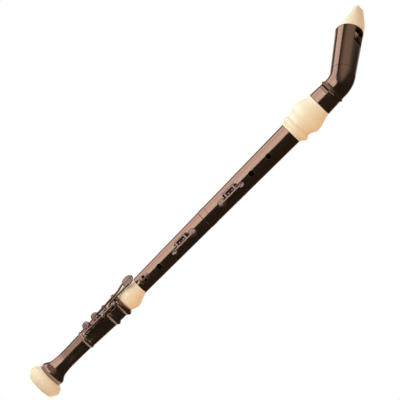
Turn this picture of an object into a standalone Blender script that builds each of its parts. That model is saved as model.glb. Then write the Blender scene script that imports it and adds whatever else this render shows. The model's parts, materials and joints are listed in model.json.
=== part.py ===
"""Bass recorder with a bent neck: beak, head, elbow, two-piece middle joint, foot and four keys.

The instrument stands upright. The origin is on the body's axis at the end face of the bell, +Z runs up the
body to the head, the tone holes face -Y, and the head leans back and to the -X side.
Angles round the body are measured from the front (-Y) towards +X.
"""

import bmesh
import bpy
from math import asin, copysign, cos, hypot, pi, radians, sin
from mathutils import Matrix, Vector

MM = 0.001

# Clearances between separate pieces
GAP = 0.3 * MM              # between pieces that touch or run on each other

# Lengths along the body axis, from the bell's end face upwards
BELL_HEIGHT = 27.0 * MM     # ivory bell ring
FOOT_LENGTH = 261.0 * MM
BALL_HEIGHT = 42.0 * MM     # ivory ball at the top of the foot
LOWER_LENGTH = 170.0 * MM   # lower half of the middle joint, without its tenons
UPPER_LENGTH = 222.0 * MM   # upper half
FERRULE_HEIGHT = 72.0 * MM  # ivory neck ferrule
NECK_LENGTH = 58.0 * MM     # from the ferrule to the crossing of the body axis and the head axis
BAND_HEIGHT = 13.5 * MM     # raised band at the lower end of the upper half

FOOT_TOP = FOOT_LENGTH
BALL_BOTTOM = FOOT_TOP - BALL_HEIGHT
MIDDLE_SPLIT = FOOT_TOP + LOWER_LENGTH
MIDDLE_TOP = MIDDLE_SPLIT + UPPER_LENGTH
FERRULE_TOP = MIDDLE_TOP + FERRULE_HEIGHT
BEND_HEIGHT = FERRULE_TOP + NECK_LENGTH

# Main radii
BELL_RADIUS = 34.8 * MM
BALL_RADIUS = 25.1 * MM
FERRULE_RADIUS = 31.5 * MM
MIDDLE_RADIUS_TOP = 21.8 * MM
MIDDLE_RADIUS_BOTTOM = 16.8 * MM
ELBOW_RADIUS = 22.8 * MM
HEAD_RADIUS_BOTTOM = 23.7 * MM
HEAD_RADIUS_TOP = 26.0 * MM
WAIST_RADIUS = 15.9 * MM
NECK_RADIUS = 20.6 * MM     # foot between its beads
LIP_RADIUS = 24.7 * MM      # foot's rim above the bell ring

# Bore
BORE_TOP = 16.0 * MM
BORE_BOTTOM = 11.0 * MM
FOOT_BORE = 10.0 * MM
BELL_MOUTH = 12.5 * MM
BELL_LIP = 4.0 * MM         # ivory under the end of the foot's tube
HEAD_BORE = 17.0 * MM

# Tenons and sockets
TENON_WALL = 3.0 * MM
FOOT_TENON_LENGTH = 34.0 * MM
MIDDLE_TENON_LENGTH = 32.0 * MM
TOP_TENON_LENGTH = 56.0 * MM
HEAD_TENON_LENGTH = 30.0 * MM
CORK_DEPTH = 1.0 * MM
CORK_MARGIN = 7.0 * MM      # bare tenon on each side of a cork ring
SOCKET_WALL = 2.6 * MM      # wall of a socket under its ivory ring
RING_LIP = 11.0 * MM        # length of the lip that an ivory ring has past the socket's end

# Bend and head, lengths along the head axis from the bend
BEND_ANGLE = radians(51.0)
HEAD_TURN = radians(35.0)
BEND_RADIUS = 32.0 * MM
HEAD_SEAM = 22.0 * MM
HEAD_RIM = 119.0 * MM
BEAK_LENGTH = 54.0 * MM
WINDOW_LENGTH = 17.0 * MM
WINDOW_WIDTH = 22.0 * MM
WINDOW_BRIDGE = 5.0 * MM    # tube wall left above the window
LABIUM_LENGTH = 25.0 * MM
LABIUM_EDGE = 1.0 * MM
WINDWAY_HEIGHT = 2.0 * MM
WINDWAY_WIDTH = 20.0 * MM
TIP_HALF_WIDTH = 10.0 * MM
TIP_TOP = 18.6 * MM         # height of the beak's upper line at the tip, above the head axis
TIP_BOTTOM = 9.6 * MM
TIP_SLOT = 15.0 * MM        # width of the windway where it opens at the tip
TONGUE_LENGTH = 29.0 * MM   # block's tongue inside the beak
TONGUE_THICKNESS = 6.7 * MM

# Tone holes
HOLE_RADIUS = 4.8 * MM
HOLE_CHAMFER = 1.5 * MM
FIRST_HOLE = MIDDLE_TOP - 58.0 * MM
SECOND_HOLE = MIDDLE_TOP - 102.5 * MM
FIFTH_HOLE = FOOT_TOP + 52.0 * MM
SIXTH_HOLES = FOOT_TOP + 17.5 * MM
SIXTH_HOLE_RADIUS = 2.3 * MM
SIXTH_HOLE_SPREAD = 7.6 * MM
SIXTH_HOLES_ANGLE = radians(-11.0)
ISLAND_HEIGHT = 1.6 * MM    # raised oval round the paired holes
ISLAND_WIDTH = 17.0 * MM
ISLAND_LENGTH = 23.0 * MM
THUMB_HOLE = MIDDLE_TOP - 41.0 * MM
THUMB_HOLE_RADIUS = 3.6 * MM

# Middle-joint keys: one for the third hole, one for the fourth, mirror images of each other
THIRD_CUP = MIDDLE_SPLIT + 45.0 * MM
FOURTH_CUP = MIDDLE_SPLIT - 31.0 * MM
TOUCH_REACH = 48.0 * MM     # from a cup's centre to its touch
CUP_RADIUS = 8.2 * MM
CUP_HOLE_RADIUS = 4.6 * MM
KEY_ROD_OFFSET = 8.4 * MM   # rod's distance to the left of the front line
KEY_ROD_HEIGHT = 4.8 * MM   # rod's height above the tube
KEY_BAR_OFFSET = 1.6 * MM
KEY_BAR_WIDTH = 3.8 * MM
KEY_BAR_THICKNESS = 2.6 * MM
KEY_TUBE_LENGTH = 26.0 * MM
KEY_TUBE_RADIUS = 2.4 * MM
ROD_RADIUS = 1.2 * MM
KEY_LIFT = 2.4 * MM
TOUCH_LENGTH = 12.0 * MM
TOUCH_WIDTH = 9.0 * MM
TOUCH_OFFSET = 3.0 * MM
POST_THICKNESS = 3.0 * MM
SEAT_HEIGHT = 0.8 * MM
PAD_THICKNESS = 2.2 * MM
CUP_WALL = 1.2 * MM
CUP_RIM = 0.8 * MM          # wall of a cup round its pad
SEAT_MARGIN = 1.4 * MM      # a cup's radius over its seat's
SPRING_RADIUS = 0.4 * MM
SCREW_RADIUS = 1.2 * MM
SCREW_HEAD_RADIUS = 2.2 * MM
SCREW_DEPTH = 2.6 * MM      # into the tube's wall
POST_HALF_WIDTH = 2.8 * MM
SADDLE_PLATE = 1.5 * MM
SADDLE_CLEARANCE = 0.5 * MM     # from a cup's edge to its key's saddle
SADDLE_SCREW_OFFSET = 3.1 * MM  # to the left of the front line, between hinge tube and bar
SADDLE_SCREW_SPREAD = 4.6 * MM
ARM_SPREAD = 10.6 * MM      # from the middle of the hinge tube to each arm
ARM_WIDTH = 4.0 * MM
ARM_THICKNESS = 2.2 * MM
ARM_DROP = 0.4 * MM         # from the bar's upper face to an arm's
SPRING_OFFSET = 4.4 * MM    # from the rod to the needle spring
SPRING_END = 8.2 * MM       # from the middle of the hinge tube

# Foot keys on one rod beside the front line
FOOT_ROD_ANGLE = radians(-21.5)
FOOT_ROD_RADIUS = 27.4 * MM     # rod's distance from the body axis
FOOT_POST_TOP = BALL_BOTTOM - 11.5 * MM
FOOT_POST_MIDDLE = FOOT_POST_TOP - 29.5 * MM
FOOT_POST_BOTTOM = FOOT_POST_TOP - 77.5 * MM
POST_HEAD_RADIUS = 3.0 * MM
POST_STEM_RADIUS = 2.1 * MM
POST_DEPTH = 2.5 * MM
FOOT_LEVER_RADIUS = 1.9 * MM
FOOT_LEVER_ORBIT = 28.2 * MM    # lever's distance from the body axis beside the ball
SHARP_CUP = FOOT_POST_MIDDLE - 13.0 * MM
SHARP_CUP_ANGLE = radians(-50.0)
SHARP_CUP_RADIUS = 8.0 * MM
LOW_CUP = FOOT_POST_BOTTOM + 11.5 * MM
LOW_CUP_ANGLE = radians(-52.0)
LOW_CUP_RADIUS = 7.6 * MM
FOOT_LIFT = 2.4 * MM
FOOT_ARM_RADIUS = 1.7 * MM
FOOT_TOUCH = BALL_BOTTOM + 35.0 * MM
FOOT_TOUCH_LENGTH = 25.0 * MM
FOOT_TOUCH_WIDTH = 18.0 * MM
FOOT_TOUCH_ANGLE = radians(-40.0)
FOOT_TOUCH_THICKNESS = 2.4 * MM
FOOT_TOUCH_SHIFT = 4.5 * MM     # touches' common centre, further to the left than the line at that angle

# Strap ring and thumb rest at the back
STRAP_EYE = MIDDLE_TOP - 22.0 * MM
STRAP_SCREW = STRAP_EYE - 10.0 * MM
STRAP_RING_RADIUS = 8.5 * MM
STRAP_WIRE_RADIUS = 1.2 * MM
STRAP_EYE_HEIGHT = 6.5 * MM
STRAP_EYE_HOLE = 2.0 * MM
THUMB_REST = FOOT_TOP + 73.0 * MM
THUMB_REST_LENGTH = 30.0 * MM
THUMB_REST_WIDTH = 15.0 * MM
THUMB_REST_PLATE = 2.2 * MM
THUMB_REST_HOOK = 15.0 * MM

# Facets round turned pieces
STEPS = 24
FINE = 16
SMALL = 10

# Colours as red, green, blue, then roughness and metallic
DARK = ("dark_resin", (0.035, 0.024, 0.018), 0.32, 0.0)
IVORY = ("ivory_resin", (0.86, 0.74, 0.52), 0.35, 0.0)
KEY_BROWN = ("key_brown", (0.10, 0.045, 0.03), 0.35, 0.0)
STEEL = ("steel", (0.62, 0.62, 0.62), 0.25, 1.0)
CORK = ("cork", (0.55, 0.38, 0.22), 0.8, 0.0)
PAD_SKIN = ("pad_skin", (0.75, 0.62, 0.45), 0.6, 0.0)


def clear_scene():
    for thing in list(bpy.data.objects):
        bpy.data.objects.remove(thing, do_unlink=True)


def collection(name):
    made = bpy.data.collections.new(name)
    bpy.context.scene.collection.children.link(made)
    return made


def material(finish):
    name, colour, roughness, metallic = finish
    made = bpy.data.materials.get(name)
    if made is None:
        made = bpy.data.materials.new(name)
        made.use_nodes = True
        shader = made.node_tree.nodes["Principled BSDF"]
        shader.inputs["Base Color"].default_value = (*colour, 1.0)
        shader.inputs["Roughness"].default_value = roughness
        shader.inputs["Metallic"].default_value = metallic
    return made


def keep(name, mesh, finish, parent=None):
    """A piece of the instrument, with a material of its own."""
    piece = bpy.data.objects.new(name, mesh)
    PIECES.objects.link(piece)
    piece.parent = parent
    mesh.materials.clear()
    own = material(finish).copy()
    own.name = name + "_finish"
    mesh.materials.append(own)
    mesh.shade_smooth()
    mesh.set_sharp_from_angle(angle=radians(35))
    return piece


def tool(mesh, parent=None):
    """A shape that only cuts or joins another one."""
    shape = bpy.data.objects.new("tool_" + mesh.name, mesh)
    TOOLS.objects.link(shape)
    shape.parent = parent
    shape.hide_render = True
    shape.display_type = "WIRE"
    return shape


def combine(piece, mesh, operation):
    modifier = piece.modifiers.new(mesh.name, "BOOLEAN")
    modifier.operation = operation
    modifier.object = tool(mesh, piece.parent)
    modifier.solver = "EXACT"
    return piece


def cut(piece, mesh):
    return combine(piece, mesh, "DIFFERENCE")


def join(piece, mesh):
    return combine(piece, mesh, "UNION")


def front(radius, angle, height):
    """A point at an angle from the front line."""
    return Vector((radius * sin(angle), -radius * cos(angle), height))


def turned(name, profile, steps=STEPS):
    """A mesh turned about Z from a closed outline that runs down its outer side and up its bore."""
    mesh = bpy.data.meshes.new(name)
    bm = bmesh.new()
    points = [bm.verts.new((radius, 0, height)) for radius, height in profile]
    for first, second in zip(points, points[1:]):
        bm.edges.new((first, second))
    if profile[0][0] > 0:
        bm.edges.new((points[-1], points[0]))
    bm.to_mesh(mesh)
    bm.free()
    blank = bpy.data.objects.new(name + "_blank", mesh)
    TOOLS.objects.link(blank)
    screw = blank.modifiers.new("turn", "SCREW")
    screw.steps = screw.render_steps = steps
    screw.use_merge_vertices = True
    screw.merge_threshold = 0.00001
    return bake(blank, name)


def bake(blank, name):
    """The evaluated mesh of an object, which is then removed."""
    bpy.context.view_layer.update()
    evaluated = blank.evaluated_get(bpy.context.evaluated_depsgraph_get())
    mesh = bpy.data.meshes.new_from_object(evaluated)
    mesh.name = name
    mesh.transform(blank.matrix_world)
    bpy.data.objects.remove(blank, do_unlink=True)
    bm = bmesh.new()
    bm.from_mesh(mesh)
    bmesh.ops.remove_doubles(bm, verts=bm.verts, dist=0.000002)
    bm.to_mesh(mesh)
    bm.free()
    return mesh


def rod(name, start, end, radius, end_radius=None, sides=SMALL):
    """A round bar, or a cone, between two points."""
    start, end = Vector(start), Vector(end)
    along = end - start
    place = Matrix.Translation((start + end) / 2) @ along.to_track_quat("Z", "Y").to_matrix().to_4x4()
    mesh = bpy.data.meshes.new(name)
    bm = bmesh.new()
    bmesh.ops.create_cone(
        bm, cap_ends=True, segments=sides, radius1=radius, radius2=end_radius or radius,
        depth=along.length, matrix=place)
    bm.to_mesh(mesh)
    bm.free()
    return mesh


def block(name, low, high, place=Matrix.Identity(4)):
    """A box between two corners, then placed by a matrix."""
    low, high = Vector(low), Vector(high)
    size = high - low
    fit = place @ Matrix.Translation((low + high) / 2) @ Matrix.Diagonal((*size, 1))
    mesh = bpy.data.meshes.new(name)
    bm = bmesh.new()
    bmesh.ops.create_cube(bm, size=1, matrix=fit)
    bm.to_mesh(mesh)
    bm.free()
    return mesh


def ball(name, centre, radius, sides=SMALL):
    mesh = bpy.data.meshes.new(name)
    bm = bmesh.new()
    bmesh.ops.create_uvsphere(
        bm, u_segments=sides, v_segments=sides // 2, radius=radius, matrix=Matrix.Translation(centre))
    bm.to_mesh(mesh)
    bm.free()
    return mesh


def wire(name, points, radius, sides=8, factors=None):
    """A round tube along points, with an optional radius factor at each."""
    curve = bpy.data.curves.new(name, "CURVE")
    curve.dimensions = "3D"
    curve.bevel_depth = radius
    curve.bevel_resolution = (sides - 4) // 2
    curve.use_fill_caps = True
    spline = curve.splines.new("POLY")
    spline.points.add(len(points) - 1)
    for index, point in enumerate(points):
        spline.points[index].co = (*point, 1)
        if factors:
            spline.points[index].radius = factors[index]
    blank = bpy.data.objects.new(name + "_blank", curve)
    TOOLS.objects.link(blank)
    return bake(blank, name)


def plate(name, outline, thickness, place):
    """A flat outline given a thickness and placed by a matrix."""
    curve = bpy.data.curves.new(name, "CURVE")
    curve.dimensions = "2D"
    curve.fill_mode = "BOTH"
    curve.extrude = thickness / 2
    spline = curve.splines.new("POLY")
    spline.points.add(len(outline) - 1)
    for index, (x, y) in enumerate(outline):
        spline.points[index].co = (x, y, 0, 1)
    spline.use_cyclic_u = True
    blank = bpy.data.objects.new(name + "_blank", curve)
    TOOLS.objects.link(blank)
    blank.matrix_world = place
    return bake(blank, name)


def through(points, parts):
    """A smooth line through points, with a number of parts to each span."""
    line = []
    for index in range(len(points) - 1):
        a = points[max(index - 1, 0)]
        b = points[index]
        c = points[index + 1]
        d = points[min(index + 2, len(points) - 1)]
        for part in range(parts):
            t = part / parts
            line.append(tuple(
                0.5 * (2 * q + (r - p) * t + (2 * p - 5 * q + 4 * r - s) * t * t + (3 * q - p - 3 * r + s) * t ** 3)
                for p, q, r, s in zip(a, b, c, d)))
    line.append(tuple(points[-1]))
    return line


def bead(top, bottom, radius, swell, parts=5):
    """A rounded ring on a turned outline, from its top edge to its bottom edge."""
    return [
        (radius + swell * sin(pi * k / parts), top + (bottom - top) * k / parts)
        for k in range(parts + 1)]


def mix(low, high, share):
    return low + (high - low) * share


def middle_radius(height):
    share = (height - FOOT_TOP) / (MIDDLE_TOP - FOOT_TOP)
    return mix(MIDDLE_RADIUS_BOTTOM, MIDDLE_RADIUS_TOP, share)


def bore_radius(height):
    share = (height - FOOT_TOP) / (MIDDLE_TOP - FOOT_TOP)
    return mix(BORE_BOTTOM, BORE_TOP, share)


def ring(inner, outer, bottom, top):
    return [(outer, top), (outer, bottom), (inner, bottom), (inner, top)]


FOOT_TENON_RADIUS = bore_radius(FOOT_TOP) + TENON_WALL
MIDDLE_TENON_RADIUS = bore_radius(MIDDLE_SPLIT) + TENON_WALL
TOP_TENON_RADIUS = bore_radius(MIDDLE_TOP) + TENON_WALL
ELBOW_BORE = BORE_TOP
HEAD_TENON_RADIUS = ELBOW_BORE + TENON_WALL
BELL_SPIGOT_RADIUS = LIP_RADIUS - 4.7 * MM


def cork_groove(radius, low, high):
    """Outline points for a cork's groove in a tenon that runs downwards from high to low."""
    top = high - CORK_MARGIN
    bottom = low + CORK_MARGIN
    return [(radius, top), (radius - CORK_DEPTH, top), (radius - CORK_DEPTH, bottom), (radius, bottom)]


def cork_ring(name, radius, low, high, parent=None):
    top = high - CORK_MARGIN - GAP
    bottom = low + CORK_MARGIN + GAP
    return keep(name, turned(name, ring(radius - CORK_DEPTH + GAP, radius, bottom, top)), CORK, parent)


def foot_body():
    socket = FOOT_TENON_RADIUS + GAP
    spigot = socket + SOCKET_WALL
    floor = FOOT_TOP - FOOT_TENON_LENGTH - GAP
    shoulder = BALL_BOTTOM
    lower_neck = FOOT_POST_MIDDLE - 5 * MM
    taper_end = FOOT_POST_BOTTOM - 4 * MM
    waist = BELL_HEIGHT + 42 * MM
    flare = through([
        (WAIST_RADIUS, waist), (mix(WAIST_RADIUS, LIP_RADIUS, 0.11), BELL_HEIGHT + 27.6 * MM),
        (mix(WAIST_RADIUS, LIP_RADIUS, 0.31), BELL_HEIGHT + 18.5 * MM),
        (mix(WAIST_RADIUS, LIP_RADIUS, 0.72), BELL_HEIGHT + 13 * MM), (LIP_RADIUS, BELL_HEIGHT + 8 * MM),
        (LIP_RADIUS - 0.3 * MM, BELL_HEIGHT + 2 * MM)], 2)
    outline = [(spigot, FOOT_TOP - RING_LIP - GAP), (spigot, shoulder)]
    outline += [(NECK_RADIUS - 0.8 * MM, shoulder)]
    outline += bead(shoulder - 0.5 * MM, shoulder - 13 * MM, NECK_RADIUS - 0.3 * MM, 4.6 * MM)
    outline += bead(shoulder - 28 * MM, shoulder - 38 * MM, NECK_RADIUS, 3.1 * MM)
    outline += [(NECK_RADIUS - 0.3 * MM, lower_neck), (NECK_RADIUS - 2.7 * MM, taper_end)]
    outline += bead(taper_end - 1.5 * MM, taper_end - 8 * MM, NECK_RADIUS - 3 * MM, 1.1 * MM, 4)
    outline += [(WAIST_RADIUS + 0.9 * MM, taper_end - 9 * MM)]
    outline += flare
    outline += [(LIP_RADIUS - 1.5 * MM, BELL_HEIGHT + GAP), (BELL_SPIGOT_RADIUS, BELL_HEIGHT + GAP)]
    outline += [(BELL_SPIGOT_RADIUS, BELL_LIP + GAP), (BELL_MOUTH, BELL_LIP + GAP)]
    outline += [(FOOT_BORE, waist), (bore_radius(FOOT_TOP) - 0.2 * MM, floor), (socket, floor)]
    outline += [(socket, FOOT_TOP - RING_LIP - GAP)]
    foot = keep("foot_body", turned("foot_body", outline), DARK)
    for height in (FOOT_POST_TOP, FOOT_POST_MIDDLE, FOOT_POST_BOTTOM):
        base = post_base(height)
        hole = rod("post_socket", front(base - GAP, FOOT_ROD_ANGLE, height),
                   front(FOOT_ROD_RADIUS + POST_HEAD_RADIUS, FOOT_ROD_ANGLE, height), POST_STEM_RADIUS + GAP)
        cut(foot, hole)
    for cup, angle, radius in (
            (SHARP_CUP, SHARP_CUP_ANGLE, SHARP_CUP_RADIUS), (LOW_CUP, LOW_CUP_ANGLE, LOW_CUP_RADIUS)):
        seat = foot_seat(cup)
        join(foot, rod("tone_seat", front(FOOT_BORE + 3 * MM, angle, cup), front(seat, angle, cup),
                       radius - SEAT_MARGIN, sides=FINE))
        cut(foot, rod("tone_hole", front(0, angle, cup), front(seat + 5 * MM, angle, cup),
                      radius - 3.4 * MM, sides=FINE))
    return foot


def foot_surface(height):
    """Radius of the foot's plain stretch between its lower beads."""
    share = (FOOT_POST_MIDDLE - 5 * MM - height) / (FOOT_POST_MIDDLE - FOOT_POST_BOTTOM - 1 * MM)
    return mix(NECK_RADIUS - 0.3 * MM, NECK_RADIUS - 2.7 * MM, max(share, 0))


def foot_seat(height):
    return foot_surface(height) + SEAT_HEIGHT


def post_base(height):
    return foot_surface(height) - POST_DEPTH


def foot_rings():
    socket = FOOT_TENON_RADIUS + GAP
    spigot = socket + SOCKET_WALL
    rim = middle_radius(FOOT_TOP) + 0.5 * MM
    low = BALL_BOTTOM + GAP
    swell = through([
        (rim, FOOT_TOP), (mix(rim, BALL_RADIUS, 0.2), FOOT_TOP - BALL_HEIGHT * 0.18),
        (mix(rim, BALL_RADIUS, 0.58), FOOT_TOP - BALL_HEIGHT * 0.36),
        (mix(rim, BALL_RADIUS, 0.92), FOOT_TOP - BALL_HEIGHT * 0.53), (BALL_RADIUS, FOOT_TOP - BALL_HEIGHT * 0.66),
        (mix(rim, BALL_RADIUS, 0.75), FOOT_TOP - BALL_HEIGHT * 0.87), (NECK_RADIUS - 0.9 * MM, low)], 2)
    outline = swell + [(spigot + GAP, low), (spigot + GAP, FOOT_TOP - RING_LIP)]
    outline += [(socket, FOOT_TOP - RING_LIP), (socket, FOOT_TOP)]
    keep("foot_ball", turned("foot_ball", outline), IVORY)
    top = BELL_HEIGHT
    outline = through([
        (LIP_RADIUS, top), (mix(LIP_RADIUS, BELL_RADIUS, 0.45), top - 4 * MM),
        (mix(LIP_RADIUS, BELL_RADIUS, 0.85), top - 8 * MM), (BELL_RADIUS, top - 12.5 * MM),
        (mix(LIP_RADIUS, BELL_RADIUS, 0.86), top - 18.5 * MM), (mix(LIP_RADIUS, BELL_RADIUS, 0.55), top - 23 * MM),
        (LIP_RADIUS + 2 * MM, 0)], 2)
    outline += [(BELL_MOUTH + 1 * MM, 0), (BELL_MOUTH, 1 * MM), (BELL_MOUTH, BELL_LIP)]
    outline += [(BELL_SPIGOT_RADIUS + GAP, BELL_LIP), (BELL_SPIGOT_RADIUS + GAP, top)]
    keep("bell_ring", turned("bell_ring", outline), IVORY)


def tone_hole(tube, height, radius, angle=0.0):
    """A hole to the bore, widened at the surface."""
    deep = middle_radius(height) - HOLE_CHAMFER
    out = middle_radius(height) + HOLE_CHAMFER
    outline = [(0, out), (radius + 2 * HOLE_CHAMFER, out), (radius, deep), (radius, 0), (0, 0)]
    cut(tube, radial(turned("tone_hole", outline, FINE), angle, height))


def lower_tube():
    low_tenon = FOOT_TENON_RADIUS
    high_tenon = MIDDLE_TENON_RADIUS
    base = FOOT_TOP - FOOT_TENON_LENGTH
    peak = MIDDLE_SPLIT + MIDDLE_TENON_LENGTH
    outline = [(high_tenon, peak)]
    outline += cork_groove(high_tenon, MIDDLE_SPLIT, peak)
    outline += [(high_tenon, MIDDLE_SPLIT - GAP), (middle_radius(MIDDLE_SPLIT), MIDDLE_SPLIT - GAP)]
    outline += [(middle_radius(FOOT_TOP), FOOT_TOP + GAP), (low_tenon, FOOT_TOP + GAP)]
    outline += cork_groove(low_tenon, base, FOOT_TOP)
    outline += [(low_tenon, base), (bore_radius(FOOT_TOP), base), (bore_radius(peak), peak)]
    tube = keep("lower_tube", turned("lower_tube", outline), DARK)
    island_top = middle_radius(SIXTH_HOLES) + ISLAND_HEIGHT
    along = front(1, SIXTH_HOLES_ANGLE, 0)
    island = rod("island", along * (bore_radius(SIXTH_HOLES) + 2 * MM), along * island_top, ISLAND_WIDTH / 2, sides=FINE)
    island.transform(Matrix.Diagonal((1, 1, ISLAND_LENGTH / ISLAND_WIDTH, 1)))
    island.transform(Matrix.Translation((0, 0, SIXTH_HOLES)))
    join(tube, island)
    for side in (-1, 1):
        angle = SIXTH_HOLES_ANGLE + side * SIXTH_HOLE_SPREAD / 2 / island_top
        cut(tube, rod("tone_hole", front(0, angle, SIXTH_HOLES), front(island_top + 4 * MM, angle, SIXTH_HOLES),
                      SIXTH_HOLE_RADIUS))
    tone_hole(tube, FIFTH_HOLE, HOLE_RADIUS)
    key_seat(tube, FOURTH_CUP, -1)
    screw_hole(tube, THUMB_REST, pi)
    cork_ring("middle_tenon_cork", high_tenon, MIDDLE_SPLIT, peak)
    cork_ring("foot_tenon_cork", low_tenon, base, FOOT_TOP)
    return tube


def upper_tube():
    tenon = TOP_TENON_RADIUS
    peak = MIDDLE_TOP + TOP_TENON_LENGTH
    socket = MIDDLE_TENON_RADIUS + GAP
    floor = MIDDLE_SPLIT + MIDDLE_TENON_LENGTH + GAP
    band = middle_radius(MIDDLE_SPLIT) + 0.4 * MM
    outline = [(tenon, peak)]
    outline += cork_groove(tenon, MIDDLE_TOP, peak)
    outline += [(tenon, MIDDLE_TOP - GAP), (middle_radius(MIDDLE_TOP), MIDDLE_TOP - GAP)]
    outline += [(middle_radius(MIDDLE_SPLIT + BAND_HEIGHT), MIDDLE_SPLIT + BAND_HEIGHT)]
    outline += [(band + 0.15 * MM, MIDDLE_SPLIT + BAND_HEIGHT - 0.5 * MM), (band, MIDDLE_SPLIT)]
    outline += [(socket, MIDDLE_SPLIT), (socket, floor), (bore_radius(floor), floor), (bore_radius(peak), peak)]
    tube = keep("upper_tube", turned("upper_tube", outline), DARK)
    tone_hole(tube, FIRST_HOLE, HOLE_RADIUS)
    tone_hole(tube, SECOND_HOLE, HOLE_RADIUS)
    tone_hole(tube, THUMB_HOLE, THUMB_HOLE_RADIUS, pi)
    key_seat(tube, THIRD_CUP, 1)
    screw_hole(tube, STRAP_SCREW, pi)
    cork_ring("top_tenon_cork", tenon, MIDDLE_TOP, peak)
    return tube


def key_seat(tube, cup, way):
    """A flat seat for a key's pad, the hole in it, and the saddle's screw holes."""
    seat = middle_radius(cup) + SEAT_HEIGHT
    join(tube, rod("tone_seat", front(bore_radius(cup) + 2 * MM, 0, cup), front(seat, 0, cup),
                   CUP_RADIUS - SEAT_MARGIN, sides=FINE))
    cut(tube, rod("tone_hole", front(0, 0, cup), front(seat + 5 * MM, 0, cup), CUP_HOLE_RADIUS, sides=FINE))
    for height in saddle_screws(cup, way):
        screw_hole(tube, height, saddle_screw_angle(cup, way))


def screw_hole(tube, height, angle):
    surface = middle_radius(height)
    cut(tube, rod("screw_hole", front(surface - SCREW_DEPTH - GAP, angle, height),
                  front(surface + 4 * MM, angle, height), SCREW_RADIUS + GAP))


def screw(name, seat, height, angle):
    """A slotted screw whose head sits on a seat at a distance from the body axis."""
    base = middle_radius(height) - SCREW_DEPTH
    head = seat + GAP
    top = head + 1.1 * MM
    piece = keep(name, rod(name, front(base, angle, height), front(top - 0.3 * MM, angle, height), SCREW_RADIUS),
                 STEEL)
    join(piece, rod("head", front(head, angle, height), front(top, angle, height), SCREW_HEAD_RADIUS, sides=16))
    slot = Matrix.Translation((0, 0, height)) @ Matrix.Rotation(angle, 4, "Z")
    cut(piece, block("slot", (-0.3 * MM, -top - 1 * MM, -3 * MM), (0.3 * MM, -top + 0.5 * MM, 3 * MM), slot))
    return piece


def key_rod_angle(cup, way):
    return -asin(KEY_ROD_OFFSET / (middle_radius(saddle_span(cup, way)) + KEY_ROD_HEIGHT))


def saddle_screw_angle(cup, way):
    return -asin(SADDLE_SCREW_OFFSET / (middle_radius(saddle_span(cup, way)) + GAP + SADDLE_PLATE))


def saddle_span(cup, way):
    """Middle of a key's hinge tube, whose saddle starts clear of the key's cup."""
    return cup + way * (CUP_RADIUS + SADDLE_CLEARANCE + POST_THICKNESS + GAP + KEY_TUBE_LENGTH / 2)


def saddle_screws(cup, way):
    return [saddle_span(cup, way) + side * SADDLE_SCREW_SPREAD for side in (-1, 1)]


def curved_plate(name, low, high, left, right, thickness, angle, finish):
    """A plate that follows the tube, between two distances to the left and right of a line along it."""
    inner, outer = GAP, GAP + thickness
    outline = [
        (middle_radius(high) + outer, high), (middle_radius(low) + outer, low),
        (middle_radius(low) + inner, low), (middle_radius(high) + inner, high)]
    plate_ring = keep(name, turned(name, outline), finish)
    limits = block("limits", (left, -60 * MM, low - 1 * MM), (right, 0, high + 1 * MM),
                   Matrix.Rotation(angle, 4, "Z"))
    return combine(plate_ring, limits, "INTERSECT")


def key_saddle(name, cup, way):
    """The plate and two posts that carry a middle-joint key's rod."""
    centre = saddle_span(cup, way)
    surface = middle_radius(centre)
    axis = surface + KEY_ROD_HEIGHT
    angle = key_rod_angle(cup, way)
    turn = Matrix.Rotation(angle, 4, "Z")
    half = KEY_TUBE_LENGTH / 2 + GAP
    end = half + POST_THICKNESS
    saddle = curved_plate(name, centre - end, centre + end, -KEY_ROD_OFFSET - 3.4 * MM, 3.0 * MM,
                          SADDLE_PLATE, 0.0, KEY_BROWN)
    root = surface + GAP + SADDLE_PLATE / 2
    for side in (-1, 1):
        low, high = sorted((centre + side * half, centre + side * end))
        join(saddle, block("post", (-POST_HALF_WIDTH, -axis, low), (POST_HALF_WIDTH, -root, high), turn))
        join(saddle, rod("post_head", turn @ Vector((0, -axis, low)), turn @ Vector((0, -axis, high)),
                         POST_HALF_WIDTH, sides=16))
        if side == way:
            lug_top = surface + KEY_ROD_HEIGHT - 1.2 * MM
            join(saddle, block("lug", (0, -lug_top, low), (SPRING_OFFSET + 1.2 * MM, -root, high), turn))
    cut(saddle, rod("rod_hole", turn @ Vector((0, -axis, centre - end - 1 * MM)),
                    turn @ Vector((0, -axis, centre + end + 1 * MM)), ROD_RADIUS + GAP))
    for height in saddle_screws(cup, way):
        cut(saddle, rod("screw_hole", front(surface - 2 * MM, saddle_screw_angle(cup, way), height),
                        front(axis, saddle_screw_angle(cup, way), height), SCREW_RADIUS + GAP))
    return saddle


def hinge(name, x, y, opening):
    """An empty on a key's rod, turned to the key's open position."""
    pivot = bpy.data.objects.new(name, None)
    PIECES.objects.link(pivot)
    pivot.location = (x, y, 0)
    pivot.rotation_euler = (0, 0, opening)
    return pivot


def on(mesh, pivot):
    """A mesh made where the key is closed, moved to its hinge's own coordinates."""
    mesh.transform(Matrix.Translation(-pivot.location))
    return mesh


def radial(mesh, angle, height):
    """A mesh turned about Z, laid along the line out from the body axis at an angle."""
    out = Matrix.Rotation(angle, 4, "Z") @ Matrix.Rotation(pi / 2, 4, "X")
    mesh.transform(Matrix.Translation((0, 0, height)) @ out)
    return mesh


def cup_mesh(name, radius, seat):
    """A key cup, closed on a seat at a distance from the body axis."""
    inside = seat + GAP + PAD_THICKNESS + GAP
    top = inside + CUP_WALL
    rim = seat + 0.7 * MM
    recess = radius - CUP_RIM
    outline = [(0, top), (radius - 1.2 * MM, top), (radius, top - 0.9 * MM), (radius, rim), (recess, rim)]
    outline += [(recess, inside), (0, inside)]
    return turned(name, outline, FINE)


def pad_mesh(name, radius, seat):
    outer = radius - CUP_RIM - GAP
    base = seat + GAP
    top = base + PAD_THICKNESS
    return turned(name, [(0, top), (outer, top), (outer, base), (0, base)], FINE)


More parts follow.
